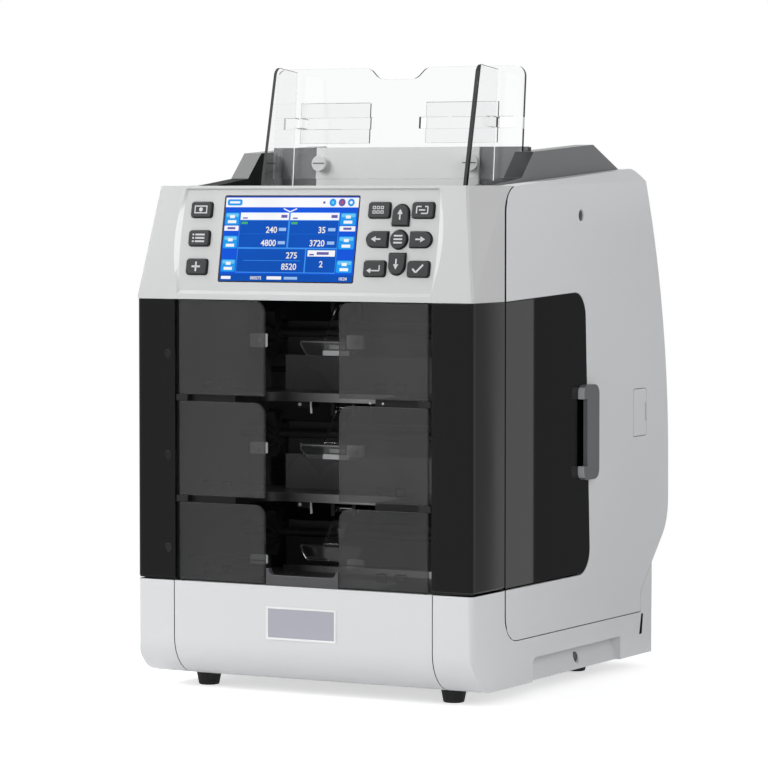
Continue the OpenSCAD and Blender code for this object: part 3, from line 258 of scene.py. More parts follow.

# %% Moulded finishes: colour, roughness and what else differs
# A rub colour is for rounded edges: wear and a painted edge highlight together
LOOKS = {
    "white_cover": ("#dcdddf", 0.42, dict(tone=0.012, depth=0.12, rub="#e3e4e5")),
    "silver_panel": ("#c0c1c1", 0.34, dict(tone=0.012, depth=0.06, rub="#d4d4d4")),
    # the next two are paler copies of the silver: a painted highlight on the field's end walls, painted light
    # on the cheeks
    "silver_rim_highlight": ("#dadbdb", 0.3, dict(tone=0.012, depth=0.05)),
    "silver_side_lit": ("#cccccd", 0.34, dict(tone=0.012, depth=0.06, rub="#dadada")),
    "screen_black": ("#0d0e10", 0.3, dict(tone=0.05, depth=0.03, Specular_IOR_Level=0.2)),
    "dark_gloss": ("#121213", 0.09, dict(tone=0.06, spread=0.02, depth=0.02, rub="#2e2e30", streaks=0.05)),
    "side_gloss": ("#0c0c0d", 0.022, dict(tone=0.06, spread=0.004, depth=0.004, rub="#2e2e30")),
    "dark_hopper": ("#262729", 0.13, dict(tone=0.04, depth=0.08, rub="#55565a", dust=0.05,
                                          Specular_IOR_Level=0.44)),
    # a paler copy of the hopper's dark for the wings' outer sides, painted light
    "hopper_side_lit": ("#696a6c", 0.3, dict(tone=0.03, depth=0.08, rub="#767779", dust=0.05)),
    "hopper_matt": ("#1e1f20", 0.6, dict(tone=0.05, depth=0.12, rub="#2c2d2f", Specular_IOR_Level=0.15)),
    "hopper_grey": ("#58595b", 0.36, dict(tone=0.03, depth=0.08, rub="#68696b")),
    "grip_grey": ("#696b6e", 0.45, dict(tone=0.03, depth=0.16, rub="#77797c")),
    "light_plate": ("#dedfdf", 0.3, dict(tone=0.012, depth=0.04)),
    "key_dark": ("#202123", 0.5, dict(tone=0.04, depth=0.1, rub="#3c3d40")),
    # a paler copy of the grip's grey for the front ends of its legs, a painted highlight; the paddle bosses
    # take it too
    "grip_end_highlight": ("#b9babc", 0.4, dict(tone=0.02, depth=0.1)),
    # a softer painted shade, for the seam along the covers' foot and the studs' grooves
    "painted_soft_shade": ("#6d6d6e", 0.7, dict(tone=0.05, depth=0.1)),
    "tray_black": ("#4b4b4d", 0.38, dict(tone=0.05, depth=0.1, rub="#5a5a5d", dust=0.1)),
    # copies of the tray plastic: darker for painted shade, a dark-to-pale fade for a painted highlight, paler
    # for painted light
    "tray_front": ("#171718", 0.4, dict(tone=0.05, depth=0.1, rub="#222224")),
    "tray_edge_highlight": ("#969698", 0.28, dict(tone=0.04, depth=0.08, fade=("#2b2b2c", -40, 18))),
    "tray_rest_lit": ("#6c6c6e", 0.3, dict(tone=0.04, depth=0.08, rub="#9c9c9e")),
    # the strip: near white, fading to dark on its left, a painted highlight
    "strip_painted_highlight": ("#f6f6f6", 0.3, dict(tone=0.02, depth=0.05, fade=("#343435", -48, 12))),
    "roller_rubber": ("#202022", 0.75, dict(tone=0.08, grain=900.0, depth=0.3, dust=0.15)),
    "foot_rubber": ("#141415", 0.8, dict(tone=0.08, grain=1200.0, depth=0.25)),
    "stacker_blade": ("#2b2c2f", 0.5, dict(tone=0.05, depth=0.08)),
    "chassis_paint": ("#2c2e31", 0.42, dict(tone=0.05, grain=1600.0, depth=0.15, dust=0.2)),
    "supply_case": ("#9a9da0", 0.4, dict(tone=0.04, depth=0.04, Metallic=0.85)),
    "motor_steel": ("#8d9094", 0.32, dict(tone=0.05, grain=700.0, depth=0.05, Metallic=0.9)),
    "screw_steel": ("#6d7074", 0.3, dict(tone=0.05, grain=900.0, depth=0.05, Metallic=1.0)),
    "board_green": ("#1d5b3a", 0.38, dict(tone=0.07, grain=500.0, depth=0.05)),
    "name_blank": ("#aeafb9", 0.3, dict(tone=0.02, grain=1800.0, depth=0.05)),
    "name_frame": ("#f2f2f2", 0.25, dict(tone=0.01, depth=0.04, rub="#ffffff")),
    "legend_ink": ("#c9cacc", 0.5, dict(tone=0.03, grain=1500.0, depth=0.05)),
    "screw_black": ("#19191a", 0.3, dict(tone=0.06, grain=900.0, depth=0.06)),
    "stud_white": ("#dedfdf", 0.22, dict(tone=0.02, depth=0.03)),
    # painted shade on the rims of the clear guides and on a band of the right guide's face
    "painted_rim_shade": ("#17181a", 0.35, dict(tone=0.05, depth=0.04, Specular_IOR_Level=0.25)),
    "catch_white": ("#e3e4e4", 0.35, dict(tone=0.02, depth=0.06)),
    "door_mark": ("#141415", 0.5, dict(tone=0.05, depth=0.05)),
    # painted shade inside seams, gaps and slots
    "painted_seam_shade": ("#1c1c1d", 0.7, dict(tone=0.05, depth=0.1)),
}
FINISH = {name: moulded(name, colour, rough, **more) for name, (colour, rough, more) in LOOKS.items()}
print(len(FINISH), "moulded finishes")

# %% [markdown]
# ## See-through finishes
# The pocket doors are smoked plastic that hides most of the pocket behind it, so they are a neutral filter: a
# dull dark surface with some of its opacity taken away. The lower doors take a darker copy of it, which is
# painted shade. A sheet has two faces, so each face hides about half of what is behind it and the sheet four
# fifths. The guides and the backrest are clear sheet, a real transmission with the bending of acrylic, and
# their sawn rims are painted dark, a painted shade. That shade comes from a mark that each sheet carries on
# its rim faces.


# %% Smoked and clear acrylic
def acrylic(name, colour, rim_colour, rough, **constants):
    """A sheet whose rim faces have a colour of their own, on the clear sheets a painted rim shade."""
    material, tree, shader = new_finish(name)
    rim = put(tree, "ShaderNodeAttribute", {"attribute_name": "rim"}).outputs["Fac"]
    tree.links.new(mixed(tree, rim, tint(colour), tint(rim_colour)), shader.inputs["Base Color"])
    haze = ranged(tree, grouped(tree, WIPED)["Haze"], to_low=rough, to_high=rough * 2.5)
    tree.links.new(haze, shader.inputs["Roughness"])
    set_evenly(shader, IOR=1.49, **constants)
    return material


for name, colour, rim_colour, rough, more in (
    ("smoked_sheet", "#444344", "#6e6e70", 0.3, dict(Alpha=0.56)),
    # the lower doors' copy of the smoked sheet is darker, painted shade
    ("smoked_low", "#3b3b3c", "#6e6e70", 0.3, dict(Alpha=0.56)),
    # the clear sheets' rim colour is a painted shade
    ("clear_sheet", "#fdfefe", "#131415", 0.0, dict(Transmission_Weight=1.0)),
    ("clear_guide", "#f6f7f7", "#131415", 0.0, dict(Transmission_Weight=1.0)),
):
    FINISH[name] = acrylic(name, colour, rim_colour, rough, **more)
    print("see-through finish:", name)

# %% [markdown]
# ## Softening the solids
# A solid model has knife-sharp edges, and nothing moulded does. Each visible solid is copied, its loose
# triangles are merged into clean faces, and its outer edges are rounded with a bevel. The bevel faces are
# marked in a layer for the rubbed edges, which are wear and a painted edge highlight together, and the copy
# stands for the solid. Large flat faces keep flat shading because their normals are weighted by area.


# %% Helpers that make a mesh
def new_object(bm, name):
    """A bmesh as an object at the origin."""
    mesh = bpy.data.meshes.new(name)
    bm.to_mesh(mesh)
    bm.free()
    made = bpy.data.objects.new(name, mesh)
    bpy.context.scene.collection.objects.link(made)
    return made


def finish_mesh(bm, name, material, angle):
    """A shaded piece; an angle of 0 leaves every face flat."""
    piece = new_object(bm, name)
    mesh = piece.data
    if "custom_normal" in mesh.attributes:
        mesh.attributes.remove(mesh.attributes["custom_normal"])
    for polygon in mesh.polygons:
        polygon.use_smooth = angle > 0
    mesh.materials.append(FINISH[material])
    if angle > 0:
        mesh.set_sharp_from_angle(angle=math.radians(angle))
        piece.modifiers.new("flat faces stay flat", "WEIGHTED_NORMAL").keep_sharp = True
    return piece


def merged_copy(node):
    """A bmesh of a CAD node with its triangles merged into whole faces."""
    bm = bmesh.new()
    bm.from_mesh(frame["nodes"][node].data)
    bmesh.ops.remove_doubles(bm, verts=bm.verts, dist=2e-6)
    bmesh.ops.dissolve_limit(bm, angle_limit=math.radians(0.5), verts=bm.verts, edges=bm.edges)
    return bm


def soften(bm, edges, radius, segments, clamp=False):
    """Rounds edges with a bevel and gives the new faces; the radius is in the bmesh's own unit."""
    return bmesh.ops.bevel(
        bm, geom=edges, offset=radius, offset_type="OFFSET", segments=segments, profile=0.5,
        affect="EDGES", material=-1, clamp_overlap=clamp,
    )["faces"]


def rounded(bm, edges, radius, segments=3, rub_and_highlight_share=1.0):
    """Rounds edges by millimetres and marks how much wear and painted edge highlight the new faces take."""
    layer = bm.faces.layers.float.get("rub") or bm.faces.layers.float.new("rub")
    for face in soften(bm, edges, radius * MM, segments, clamp=True):
        face[layer] = rub_and_highlight_share


SHARP = math.radians(30.0)


def outer_edges(bm):
    """Convex edges that turn by more than a sharp angle."""
    return [e for e in bm.edges if e.is_manifold and e.calc_face_angle_signed(0.0) > SHARP]


print("mesh helpers ready")

# %% Helpers that place a piece
SMOOTH = 38.0  # edges that turn by fewer degrees are shaded smooth


def placed(bm, name, material, node, stands_for=None, angle=SMOOTH):
    """A finished piece that rides on a CAD node's body, and may stand for that node."""
    piece = finish_mesh(bm, name, material, angle)
    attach(piece, carrier[node])
    if stands_for:
        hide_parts(stands_for)
    return piece


def stand_in(node, material, radius, segments=3, shape=None, angle=SMOOTH):
    """The softened copy of a CAD node, in its place and on its body."""
    bm = merged_copy(node)
    if shape:
        shape(bm)
    rounded(bm, outer_edges(bm), radius, segments)
    return placed(bm, node + "_finish", material, node, node, angle)


def second_finish(piece, material, wanted):
    """Gives another finish to the faces whose middle (mm) and direction pass a test."""
    index = len(piece.data.materials)
    piece.data.materials.append(FINISH[material])
    chosen = [p for p in piece.data.polygons if wanted(p.center / MM, p.normal)]
    for polygon in chosen:
        polygon.material_index = index
    print(piece.name, "has", len(chosen), "faces in", material)


print("placing helpers ready")

# %% [markdown]
# ## Cabinet, base and pocket frame
# The white mouldings have generous edge radii, the charcoal pillars and doors tighter ones, and the
# acrylic only a broken edge. A table of node, finish and radius in millimetres drives the softening.

# %% Shape steps of covers, pillars and keys
LEAN_BACK = 14.5  # how far the control head's top lies behind its foot
PANEL_TILT = math.atan2(LEAN_BACK, HEAD_TOP - HEAD_FOOT)
UPWARD = Matrix.Rotation(math.pi / 2 - PANEL_TILT, 4, "X")
PANEL = Matrix.Translation((0.0, FRONT * MM, HEAD_FOOT * MM)) @ UPWARD  # the head's face, a plane of its own
SEAM_WIDENED = 1.0  # how far a cover's front edge is set back
KEY_SLOPE = 0.6  # how far the sides of a key lean in


def lifted_foot(low, lift):
    """A shape step that raises a piece's lowest edge, for a wider shadow line under it; the base's top there
    takes painted shade.
    """

    def raise_foot(bm):
        for vert in bm.verts:
            if abs(vert.co.z / MM - low) < 0.2 and abs(vert.co.x) > 105 * MM:
                vert.co.z += lift * MM

    return raise_foot


def open_cover(bm):
    """Sets a cover's front edge back for a wider seam, and rounds the rear of its opening."""
    for vert in bm.verts:
        vert.co.y += SEAM_WIDENED * MM * min(1.0, max(0.0, -108 - vert.co.y / MM))
    rim = []
    for edge in outer_edges(bm):
        spots = [vert.co / MM for vert in edge.verts]
        beside = all(abs(abs(spot.x) - SIDE) < 0.1 and 5 < spot.y < 40 and 74 < spot.z < 282
                     for spot in spots)
        if beside and min(face.normal.y for face in edge.link_faces) < -0.3:
            rim.append(edge)
    rounded(bm, rim, 1.5)
    print("opening edges rounded:", len(rim))


def taper_key(bm):
    """Draws in the top of a key, so that its sides slope."""
    flat = PANEL.inverted()
    spots = {vert: flat @ vert.co / MM for vert in bm.verts}
    tops = [vert for vert, spot in spots.items() if spot.z > 0.3]
    middle = sum((spots[vert] for vert in tops), Vector()) / len(tops)
    for vert in tops:
        inward = middle - spots[vert]
        inward.z = 0.0
        vert.co = PANEL @ ((spots[vert] + inward.normalized() * KEY_SLOPE) * MM)


print("panel leans back by", round(math.degrees(PANEL_TILT), 2), "degrees")

# %% Softened stand-ins for the visible solids
SOFTENED = {
    "base_shell": ("white_cover", 1.0),
    "base_front_panel": ("white_cover", 0.6),
    "right_side_cover": ("white_cover", 0.8, 3, open_cover),
    "left_side_cover": ("white_cover", 0.8, 3, open_cover),
    "rear_cover": ("white_cover", 0.7),
    "port_flap": ("white_cover", 0.4),
    "screen_window": ("screen_black", 0.2),
    "left_front_pillar": ("dark_gloss", 0.5, 3, lifted_foot(BASE_TOP, 1.2)),
    "right_front_pillar": ("dark_gloss", 0.5, 3, lifted_foot(BASE_TOP, 1.2)),
    "right_side_door": ("side_gloss", 0.6, 3, lifted_foot(BASE_TOP + 0.6, 1.0)),
    "left_side_inlay": ("dark_gloss", 0.6),
    "door_handle": ("grip_grey", 1.0),
    "rubber_feet": ("foot_rubber", 0.8),
    "upper_tray": ("tray_black", 0.5),
    "middle_tray": ("tray_black", 0.5),
    "lower_tray": ("tray_black", 0.5),
    "power_switch": ("tray_black", 0.5),
}
for key in carrier:
    if key.startswith("key_"):
        SOFTENED[key] = ("key_dark", 0.6, 3, taper_key)
    elif key.endswith("_door") and key != "right_side_door":
        # the lower doors take the darker smoked copy, painted shade
        SOFTENED[key] = ("smoked_low" if key.startswith("lower") else "smoked_sheet", 0.4)
shown = {key: stand_in(key, *values) for key, values in SOFTENED.items()}
print(len(shown), "softened pieces")

# %% [markdown]
# ## Painted shade in seams, painted light and shade on the trays
# Between two mouldings the eye looks into a narrow dark gap. The gap's own faces take a dark finish, a
# painted shade, so the seam still reads where it is thinner than a pixel. The trays are one moulding each, in
# darker and paler copies of one plastic: the darker copy along the front is painted shade, the paler rest
# plate is painted light, and the rounded rear of the finger notch carries a painted highlight, dark on the
# left and pale on the right.

# %% Seam faces in painted shade
COVER_FOOT = 42.0  # Z of the side covers' lower edge
LEDGE = 41.4  # Z of the base's ledge under them


def beside_panel(at):
    """The gaps at both ends of the base's front panel."""
    return 102.7 < abs(at.x) < 103.9


def in_base_gap(at, way):
    """The base's own walls of its gaps to panel, covers and pillars, and of the slot in each side, which take
    painted shade.
    """
    to_panel = abs(way.x) > 0.5 and beside_panel(at) and at.y < -140
    to_cover = way.y > 0.4 and -112.2 < at.y < -100 and COVER_FOOT < at.z < 77.2 and abs(at.x) > 130.5
    to_pillar = way.z > 0.9 and abs(at.z - BASE_TOP) < 0.1 and at.y < -100
    in_slot = 108 < at.y < 117 and 24.5 < at.z < 40.5 and 130.5 < abs(at.x) < 133.9 and abs(way.x) < 0.9
    return to_panel or to_cover or to_pillar or in_slot


# Painted shade: faces inside the seams take a dark finish, the covers' foot and the base's ledge a softer one
for side in SIDES:
    cover = shown[side + "_side_cover"]
    second_finish(cover, "painted_seam_shade", lambda at, way: way.y < -0.3 and -112.5 < at.y < -94)
    second_finish(cover, "painted_soft_shade", lambda at, way: way.z < -0.5 and abs(at.z - COVER_FOOT) < 0.6)
base = shown["base_shell"]
second_finish(base, "painted_soft_shade",
              lambda at, way: way.z > 0.5 and abs(at.z - LEDGE) < 0.5 and abs(at.x) > 131)
second_finish(base, "painted_seam_shade", in_base_gap)
second_finish(shown["base_front_panel"], "painted_seam_shade",
              lambda at, way: abs(way.x) > 0.5 and beside_panel(at))


# %% Painted light and shade on the tray edges, and a painted highlight on the grip's end
def is_tray_front(at, way):
    """The faces of the two upper trays that take the darker copy, painted shade: the front, the sides of the
    notch, the ears for a paddle.
    """
    notch_side = abs(way.x) > 0.5 and -150 < at.y < -109
    ear = -101 < at.y < -91 and 6 < abs(at.x) < 11 and abs(way.z) < 0.9
    return at.y < -150 or notch_side or ear


# painted highlight: the front ends of the grip's legs take a paler grey
second_finish(shown["door_handle"], "grip_end_highlight", lambda at, way: way.y < -0.6 and at.y < 5.6)
# painted light and shade on each tray: a highlight on the notch's rear, a paler rest plate (dark on the lower
# tray), a darker front
for level in LEVELS:
    tray = shown[level + "_tray"]
    second_finish(tray, "tray_edge_highlight", lambda at, way: way.y < -0.3 and -133 < at.y < -105)
    second_finish(tray, "tray_front" if level == "lower" else "tray_rest_lit",
                  lambda at, way: -77 < at.y < -72)
    if level != "lower":
        second_finish(tray, "tray_front", is_tray_front)

# %% [markdown]
# ## The control head
# The silver head carries the display and keys in a shallow field. The solid has an upright wall round
# that field; the moulding has soft slopes at its two ends and below, so the wall's foot is drawn in at
# the ends and its lower rim is let down. The cheeks of the solid are two flats that meet in a crease:
# the top edge is cut into short pieces and bent, and the cheek becomes one smooth curve. Both cheeks
# border one U-shaped top face, so that face is parted in the middle first: cuts in two edges of one
# face would be joined across its opening.

# %% Shape steps of the control head
CHEEK_FRONT = Vector((122.0, -145.5))  # the cheek's top edge, from the front corner
CHEEK_HANDLE = Vector((SIDE, -129.0))
CHEEK_REAR = Vector((SIDE, -111.0))
CHEEK_CUTS = 7
CHEEK_INSIDE = 118.0  # X beyond which the head is cheek
SEAM_OPENED = 0.9  # how far the rear of the cheeks is set forward
FIELD_DEPTH, RIM_DROP = 1.5, 2.6
FIELD_FOOT, END_SLOPE = 100.6, 0.35  # X where an end wall's foot comes to lie, and what is left of its bend


def slope_field(bm):
    """Draws in the foot of the field's end walls and lets down its lower rim."""
    flat = PANEL.inverted()
    for vert in bm.verts:
        x, v, w = (c / MM for c in flat @ vert.co)
        if not (6.0 < v < 79.2 and 100 < abs(x) < 108):
            continue
        if abs(w + FIELD_DEPTH) < 0.1:
            x = math.copysign(FIELD_FOOT + (abs(x) - 101) * END_SLOPE, x)
        elif abs(w) < 0.1:
            v -= RIM_DROP if v < 7 else 0.0
        else:
            continue
        vert.co = PANEL @ (Vector((x, v, w)) * MM)


def is_cheek_top(edge):
    """Whether an edge is the straight top edge of a cheek."""
    ends = sorted((abs(v.co.x), v.co.y, v.co.z) for v in edge.verts)
    near = all((Vector(end[:2]) / MM - goal).length < 0.3 and abs(end[2] / MM - HEAD_TOP) < 0.2
               for end, goal in zip(ends, (CHEEK_FRONT, CHEEK_REAR)))
    return near and edge.verts[0].co.x * edge.verts[1].co.x > 0


def curve_cheeks(bm):
    """Bends the top edge of each cheek and opens the seam behind it."""
    tops = [edge for edge in bm.edges if is_cheek_top(edge)]
    for vert in bm.verts:
        if vert.co.y > -112 * MM and abs(vert.co.x) > CHEEK_INSIDE * MM:
            vert.co.y -= SEAM_OPENED * MM
    roof = max((f for f in bm.faces if f.normal.z > 0.99), key=lambda face: face.calc_area())
    bmesh.ops.bisect_plane(bm, geom=[roof, *roof.edges, *roof.verts], dist=1e-6,
                           plane_co=(0, 0, 0), plane_no=(1, 0, 0))
    made = bmesh.ops.subdivide_edges(bm, edges=tops, cuts=CHEEK_CUTS, use_grid_fill=False)["geom_inner"]
    for vert in (g for g in made if isinstance(g, bmesh.types.BMVert)):
        share = (abs(vert.co.x) / MM - CHEEK_FRONT.x) / (CHEEK_REAR.x - CHEEK_FRONT.x)
        bent = CHEEK_FRONT * (1 - share) ** 2 + CHEEK_HANDLE * 2 * share * (1 - share) + CHEEK_REAR * share**2
        vert.co.x = math.copysign(bent.x * MM, vert.co.x)
        vert.co.y = bent.y * MM
    return len(tops)


def shape_head(bm):
    """The head's own shaping before its edges are softened."""
    slope_field(bm)
    print("cheeks bent:", curve_cheeks(bm))
    corners = []
    for edge in bm.edges:
        ends = [vert.co / MM for vert in edge.verts]
        outside = ends[0].x * ends[1].x > 0 and all(abs(end.x) > 121.5 and end.y < -145 for end in ends)
        if outside and edge.calc_length() > 75 * MM and edge.calc_face_angle_signed(0.0) > 0.3:
            corners.append(edge)
    rounded(bm, corners, 1.5, 5, rub_and_highlight_share=0.3)


print("head's shape steps ready")

# %% Control head with a sloped field and curved cheeks
head = stand_in("control_fascia", "silver_panel", 0.6, shape=shape_head, angle=28.0)
# painted shade in the seam behind the cheeks
second_finish(head, "painted_seam_shade", lambda at, way: way.y > 0.3 and abs(at.x) > CHEEK_INSIDE
              and at.y > -114 and at.z < HEAD_TOP - 0.2)
# painted highlight on the field's end walls
second_finish(head, "silver_rim_highlight",
              lambda at, way: 0.15 < abs(way.x) and 99.5 < abs(at.x) < 108.5 and 283 < at.z < 354)
# painted light: the cheeks take a paler silver
second_finish(head, "silver_side_lit", lambda at, way: abs(way.x) > 0.6 and abs(at.x) > CHEEK_INSIDE)
print("control head:", len(head.data.polygons), "faces")

# %% [markdown]
# ## Hopper
# The hopper moulding is one solid, dark on its wings and deck. Its raised back wall is a lighter grey insert
# and its deck and inner walls are matt, so those faces take slots of their own. The outer sides of the wings
# take a paler copy of the dark, which is painted light. Faces are picked by where they lie and which way they
# look. The deck climbs a little more steeply towards the wings than in the solid, so it shows as a dark wedge
# above the head.

# %% Hopper surround in four finishes
LEAN = math.radians(5.0)  # how far the hopper's back and the clear backrest lean
DECK_RISE = 3.8  # millimetres


def raise_deck(bm):
    """Lifts the deck where it meets the wings."""
    for vert in bm.verts:
        if -56.2 < vert.co.y / MM < -54.4 and vert.co.z > 357 * MM:
            vert.co.z += DECK_RISE * MM


hopper = stand_in("hopper_surround", "dark_hopper", 0.7, shape=raise_deck)
second_finish(hopper, "hopper_grey",
              lambda at, way: abs(at.x) < 105 and -24 < at.y < -10 and at.z > 345 and abs(way.x) < 0.9)
# painted light: the wings' outer sides take a paler grey
second_finish(hopper, "hopper_side_lit", lambda at, way: abs(way.x) > 0.6 and abs(at.x) > 110 and at.z > 353)
second_finish(hopper, "hopper_matt",
              lambda at, way: (way.z > 0.9 and at.y < -56) or (abs(way.x) > 0.9 and abs(at.x) < 104.5))
stand_in("hopper_back_plate", "light_plate", 0.3, segments=1, angle=0.0)

# %% [markdown]
# ## Clear sheets
# Acrylic sheet is nearly invisible on its faces, and its sawn rims look dark where light leaks away; here
# that darkness is painted shade on the rim faces. Each sheet only has its edges broken by a tiny chamfer and
# is shaded flat, because a rounded normal would bend what is seen through it. The backrest's rear face is
# drawn a quarter of a millimetre off the plate it lies on, because two faces in one place would fight. A
# "rim" layer, from 0 to 1, says how much painted shade each rim face takes.

# %% How a clear sheet is made
BACKWARD = Vector((0.0, math.cos(LEAN), -math.sin(LEAN)))  # out of the back of the leaning backrest
CHAMFER = 0.2


def clear_piece(node, rim_of, off_back=0.0, material="clear_sheet", shape=None):
    """A clear sheet whose rim faces carry a mark for painted shade; its back may stand off what it rests on.
    """

    def mark(bm):
        if shape:
            shape(bm)
        layer = bm.faces.layers.float.new("rim")
        for face in bm.faces:
            face[layer] = rim_of(face.calc_center_median() / MM, face.normal)
        rear = max(vert.co.dot(BACKWARD) for vert in bm.verts)
        for vert in bm.verts:
            if rear - vert.co.dot(BACKWARD) < 0.05 * MM:
                vert.co -= BACKWARD * off_back * MM

    piece = stand_in(node, material, CHAMFER, segments=1, shape=mark, angle=0.0)
    piece.visible_shadow = False  # lamps light what stands behind the sheet, as they do through acrylic
    piece.visible_diffuse = False  # and so does light that bounces
    return piece


def backrest_rim(at, way):
    """How much painted shade the backrest's rim takes: its ends more than its long edges."""
    if abs(way.y) > 0.5:
        return 0.0
    return 0.7 if abs(at.x) > 101.5 else 0.12


def guide_rim(at, way):
    """Full painted shade on the front and top edges of a guide, none elsewhere."""
    edge = abs(way.x) < 0.5 and abs(at.x) > 80.9 and way.y < 0.5 and at.y < -22
    return 1.0 if edge else 0.0


print("backrest leans by", round(math.degrees(LEAN), 1), "degrees")

# %% Backrest with a rounded grip notch
NOTCH_TOP, NOTCH_FOOT, NOTCH_CORNER = 23.5, 15.0, 3.6  # half its width above and below, and its corners


def round_notch(bm):
    """Narrows the grip notch in the backrest's top edge and rounds its four corners."""
    corners = []
    for vert in bm.verts:
        if vert.co.z > 424 * MM and abs(vert.co.x) < 28 * MM:
            half = NOTCH_TOP if abs(vert.co.x) > 25 * MM else NOTCH_FOOT
            vert.co.x = math.copysign(half * MM, vert.co.x)
            corners.append(vert)
    through = [e for e in bm.edges if e.verts[0] in corners and e.verts[1] in corners
               and abs((e.verts[0].co - e.verts[1].co).normalized().dot(BACKWARD)) > 0.9]
    soften(bm, through, NOTCH_CORNER * MM, 5)
    print("notch corners rounded:", len(through))


clear_piece("note_backrest", backrest_rim, off_back=0.25, shape=round_notch)

# %% Note guides and paddles
# the band along the right guide's front edge takes painted shade
BAND = 2.9  # how deep the front edge of the right guide looks dark, in millimetres
band_plane = {}


def part_band(bm):
    """Parts a narrow band along the front edge of a guide from the rest of its face."""
    rims = [face for face in bm.faces if guide_rim(face.calc_center_median() / MM, face.normal) > 0]
    edge = max(rims, key=lambda face: face.calc_area())
    band_plane["spot"] = edge.calc_center_median() - edge.normal * BAND * MM
    band_plane["way"] = edge.normal.copy()
    bmesh.ops.bisect_plane(bm, geom=bm.verts[:] + bm.edges[:] + bm.faces[:], dist=1e-6,
                           plane_co=band_plane["spot"], plane_no=band_plane["way"])


for side in SIDES:
    guide = clear_piece(side + "_note_guide", guide_rim, material="clear_guide",
                        shape=part_band if side == "right" else None)
    # painted shade on the guide's front and top rims, and on a band of the right guide's face
    second_finish(guide, "painted_rim_shade", lambda at, way: guide_rim(at, way) > 0)
    if side == "right":
        second_finish(guide, "painted_rim_shade", lambda at, way: way.x > 0.9
                      and (at * MM - band_plane["spot"]).dot(band_plane["way"]) > 0)
for level in LEVELS:
    clear_piece(level + "_paddle", lambda at, way: 0.3 if abs(way.y) < 0.5 else 0.0)

# %% [markdown]
# ## Fasteners
# One solid holds every fastener. Copies of it are cut down by place: pale studs on the backrest, black
# screws in the left pillar and the base, plain steel ones elsewhere. Together they stand for the one solid.


# %% Studs and screws
def fastener_set(name, material, wanted):
    """The fasteners whose places pass a test."""
    bm = merged_copy("screws")
    others = [face for face in bm.faces if not wanted(face.calc_center_median() / MM)]
    bmesh.ops.delete(bm, geom=others, context="FACES")
    rounded(bm, outer_edges(bm), 0.25, 2)
    return placed(bm, name, material, "screws", "screws")


def is_stud(place):
    """A stud on the backrest."""
    return place.z > 345 and abs(place.x) < 80


def is_black_screw(place):
    """A screw in the left pillar or the base."""
    return (place.x < 0 and place.y < -150 and place.z > BASE_TOP) or place.z < 30


fastener_set("backrest_studs", "stud_white", is_stud)
fastener_set("black_screws", "screw_black", is_black_screw)
fastener_set("cover_screws", "screw_steel", lambda place: not (is_stud(place) or is_black_screw(place)))
print("fasteners in three finishes")

# %% Grooves in the studs, in painted shade
GROOVE = (9.4, 0.9, 0.3)  # length, width and thickness, in millimetres
stud_faces = [p for p in frame["nodes"]["screws"].data.polygons
              if is_stud(p.center / MM) and p.normal.dot(BACKWARD) < -0.99]
front_reach = min(p.center.dot(BACKWARD) for p in stud_faces) + 0.1 * MM
for side, sign in SIDES.items():
    heads = [p for p in stud_faces if p.center.x * sign > 0 and p.center.dot(BACKWARD) < front_reach]
    middle = sum((p.center * p.area for p in heads), Vector()) / sum(p.area for p in heads)
    groove = bmesh.new()
    bmesh.ops.create_cube(groove, size=1.0, matrix=Matrix.Diagonal((*GROOVE, 1.0)))
    upright = Matrix.Rotation(math.pi / 2 - LEAN, 4, "X")
    groove.transform(Matrix.Translation(middle) @ upright @ Matrix.Scale(MM, 4))
    # the groove is a grey slab on the stud's face, painted shade where its slot lies
    placed(groove, side + "_stud_groove", "painted_soft_shade", "screws")
print("grooves in", len(stud_faces), "stud faces")

# %% [markdown]
# ## Drawing thin details
# Legends, the display's picture and small marks are thin flat shapes. Each is a closed slab, a few
# hundredths of a millimetre to a millimetre thick, so it also holds up as a mesh of its own. The
# helpers draw flat, in millimetres, and a matrix then lays the drawing on its surface.


# %% Helpers that draw thin slabs
def slab(bm, x0, x1, y0, y1, low, high, corner=0.0):
    """A box between two corners, with its upright edges rounded."""
    size = Matrix.Diagonal((x1 - x0, y1 - y0, high - low, 1.0))
    place = Matrix.Translation(((x0 + x1) / 2, (y0 + y1) / 2, (low + high) / 2))
    verts = bmesh.ops.create_cube(bm, size=1.0, matrix=place @ size)["verts"]
    if corner:
        edges = dict.fromkeys(e for v in verts for e in v.link_edges)
        upright = [e for e in edges if abs(e.verts[0].co.z - e.verts[1].co.z) > 1e-6]
        soften(bm, upright, corner, 4)


def stroke(bm, start, end, width, low, high):
    """A straight bar between two points."""
    start, end = Vector(start), Vector(end)
    along = end - start
    turn = Matrix.Rotation(math.atan2(along.y, along.x), 4, "Z")
    middle = (start + end) / 2
    place = Matrix.Translation((middle.x, middle.y, (low + high) / 2))
    size = Matrix.Diagonal((along.length, width, high - low, 1.0))
    bmesh.ops.create_cube(bm, size=1.0, matrix=place @ turn @ size)


def disc(bm, x, y, radius, low, high, sides=24, turn=0.0):
    """A flat prism: round with many sides, a triangle with three."""
    place = Matrix.Translation((x, y, (low + high) / 2)) @ Matrix.Rotation(turn, 4, "Z")
    bmesh.ops.create_cone(bm, cap_ends=True, segments=sides, radius1=radius, radius2=radius, depth=high - low,
                          matrix=place)


def frame_of(bm, x0, x1, y0, y1, width, low, high):
    """A thin rectangular outline."""
    slab(bm, x0, x1, y0, y0 + width, low, high)
    slab(bm, x0, x1, y1 - width, y1, low, high)
    slab(bm, x0, x0 + width, y0 + width, y1 - width, low, high)
    slab(bm, x1 - width, x1, y0 + width, y1 - width, low, high)


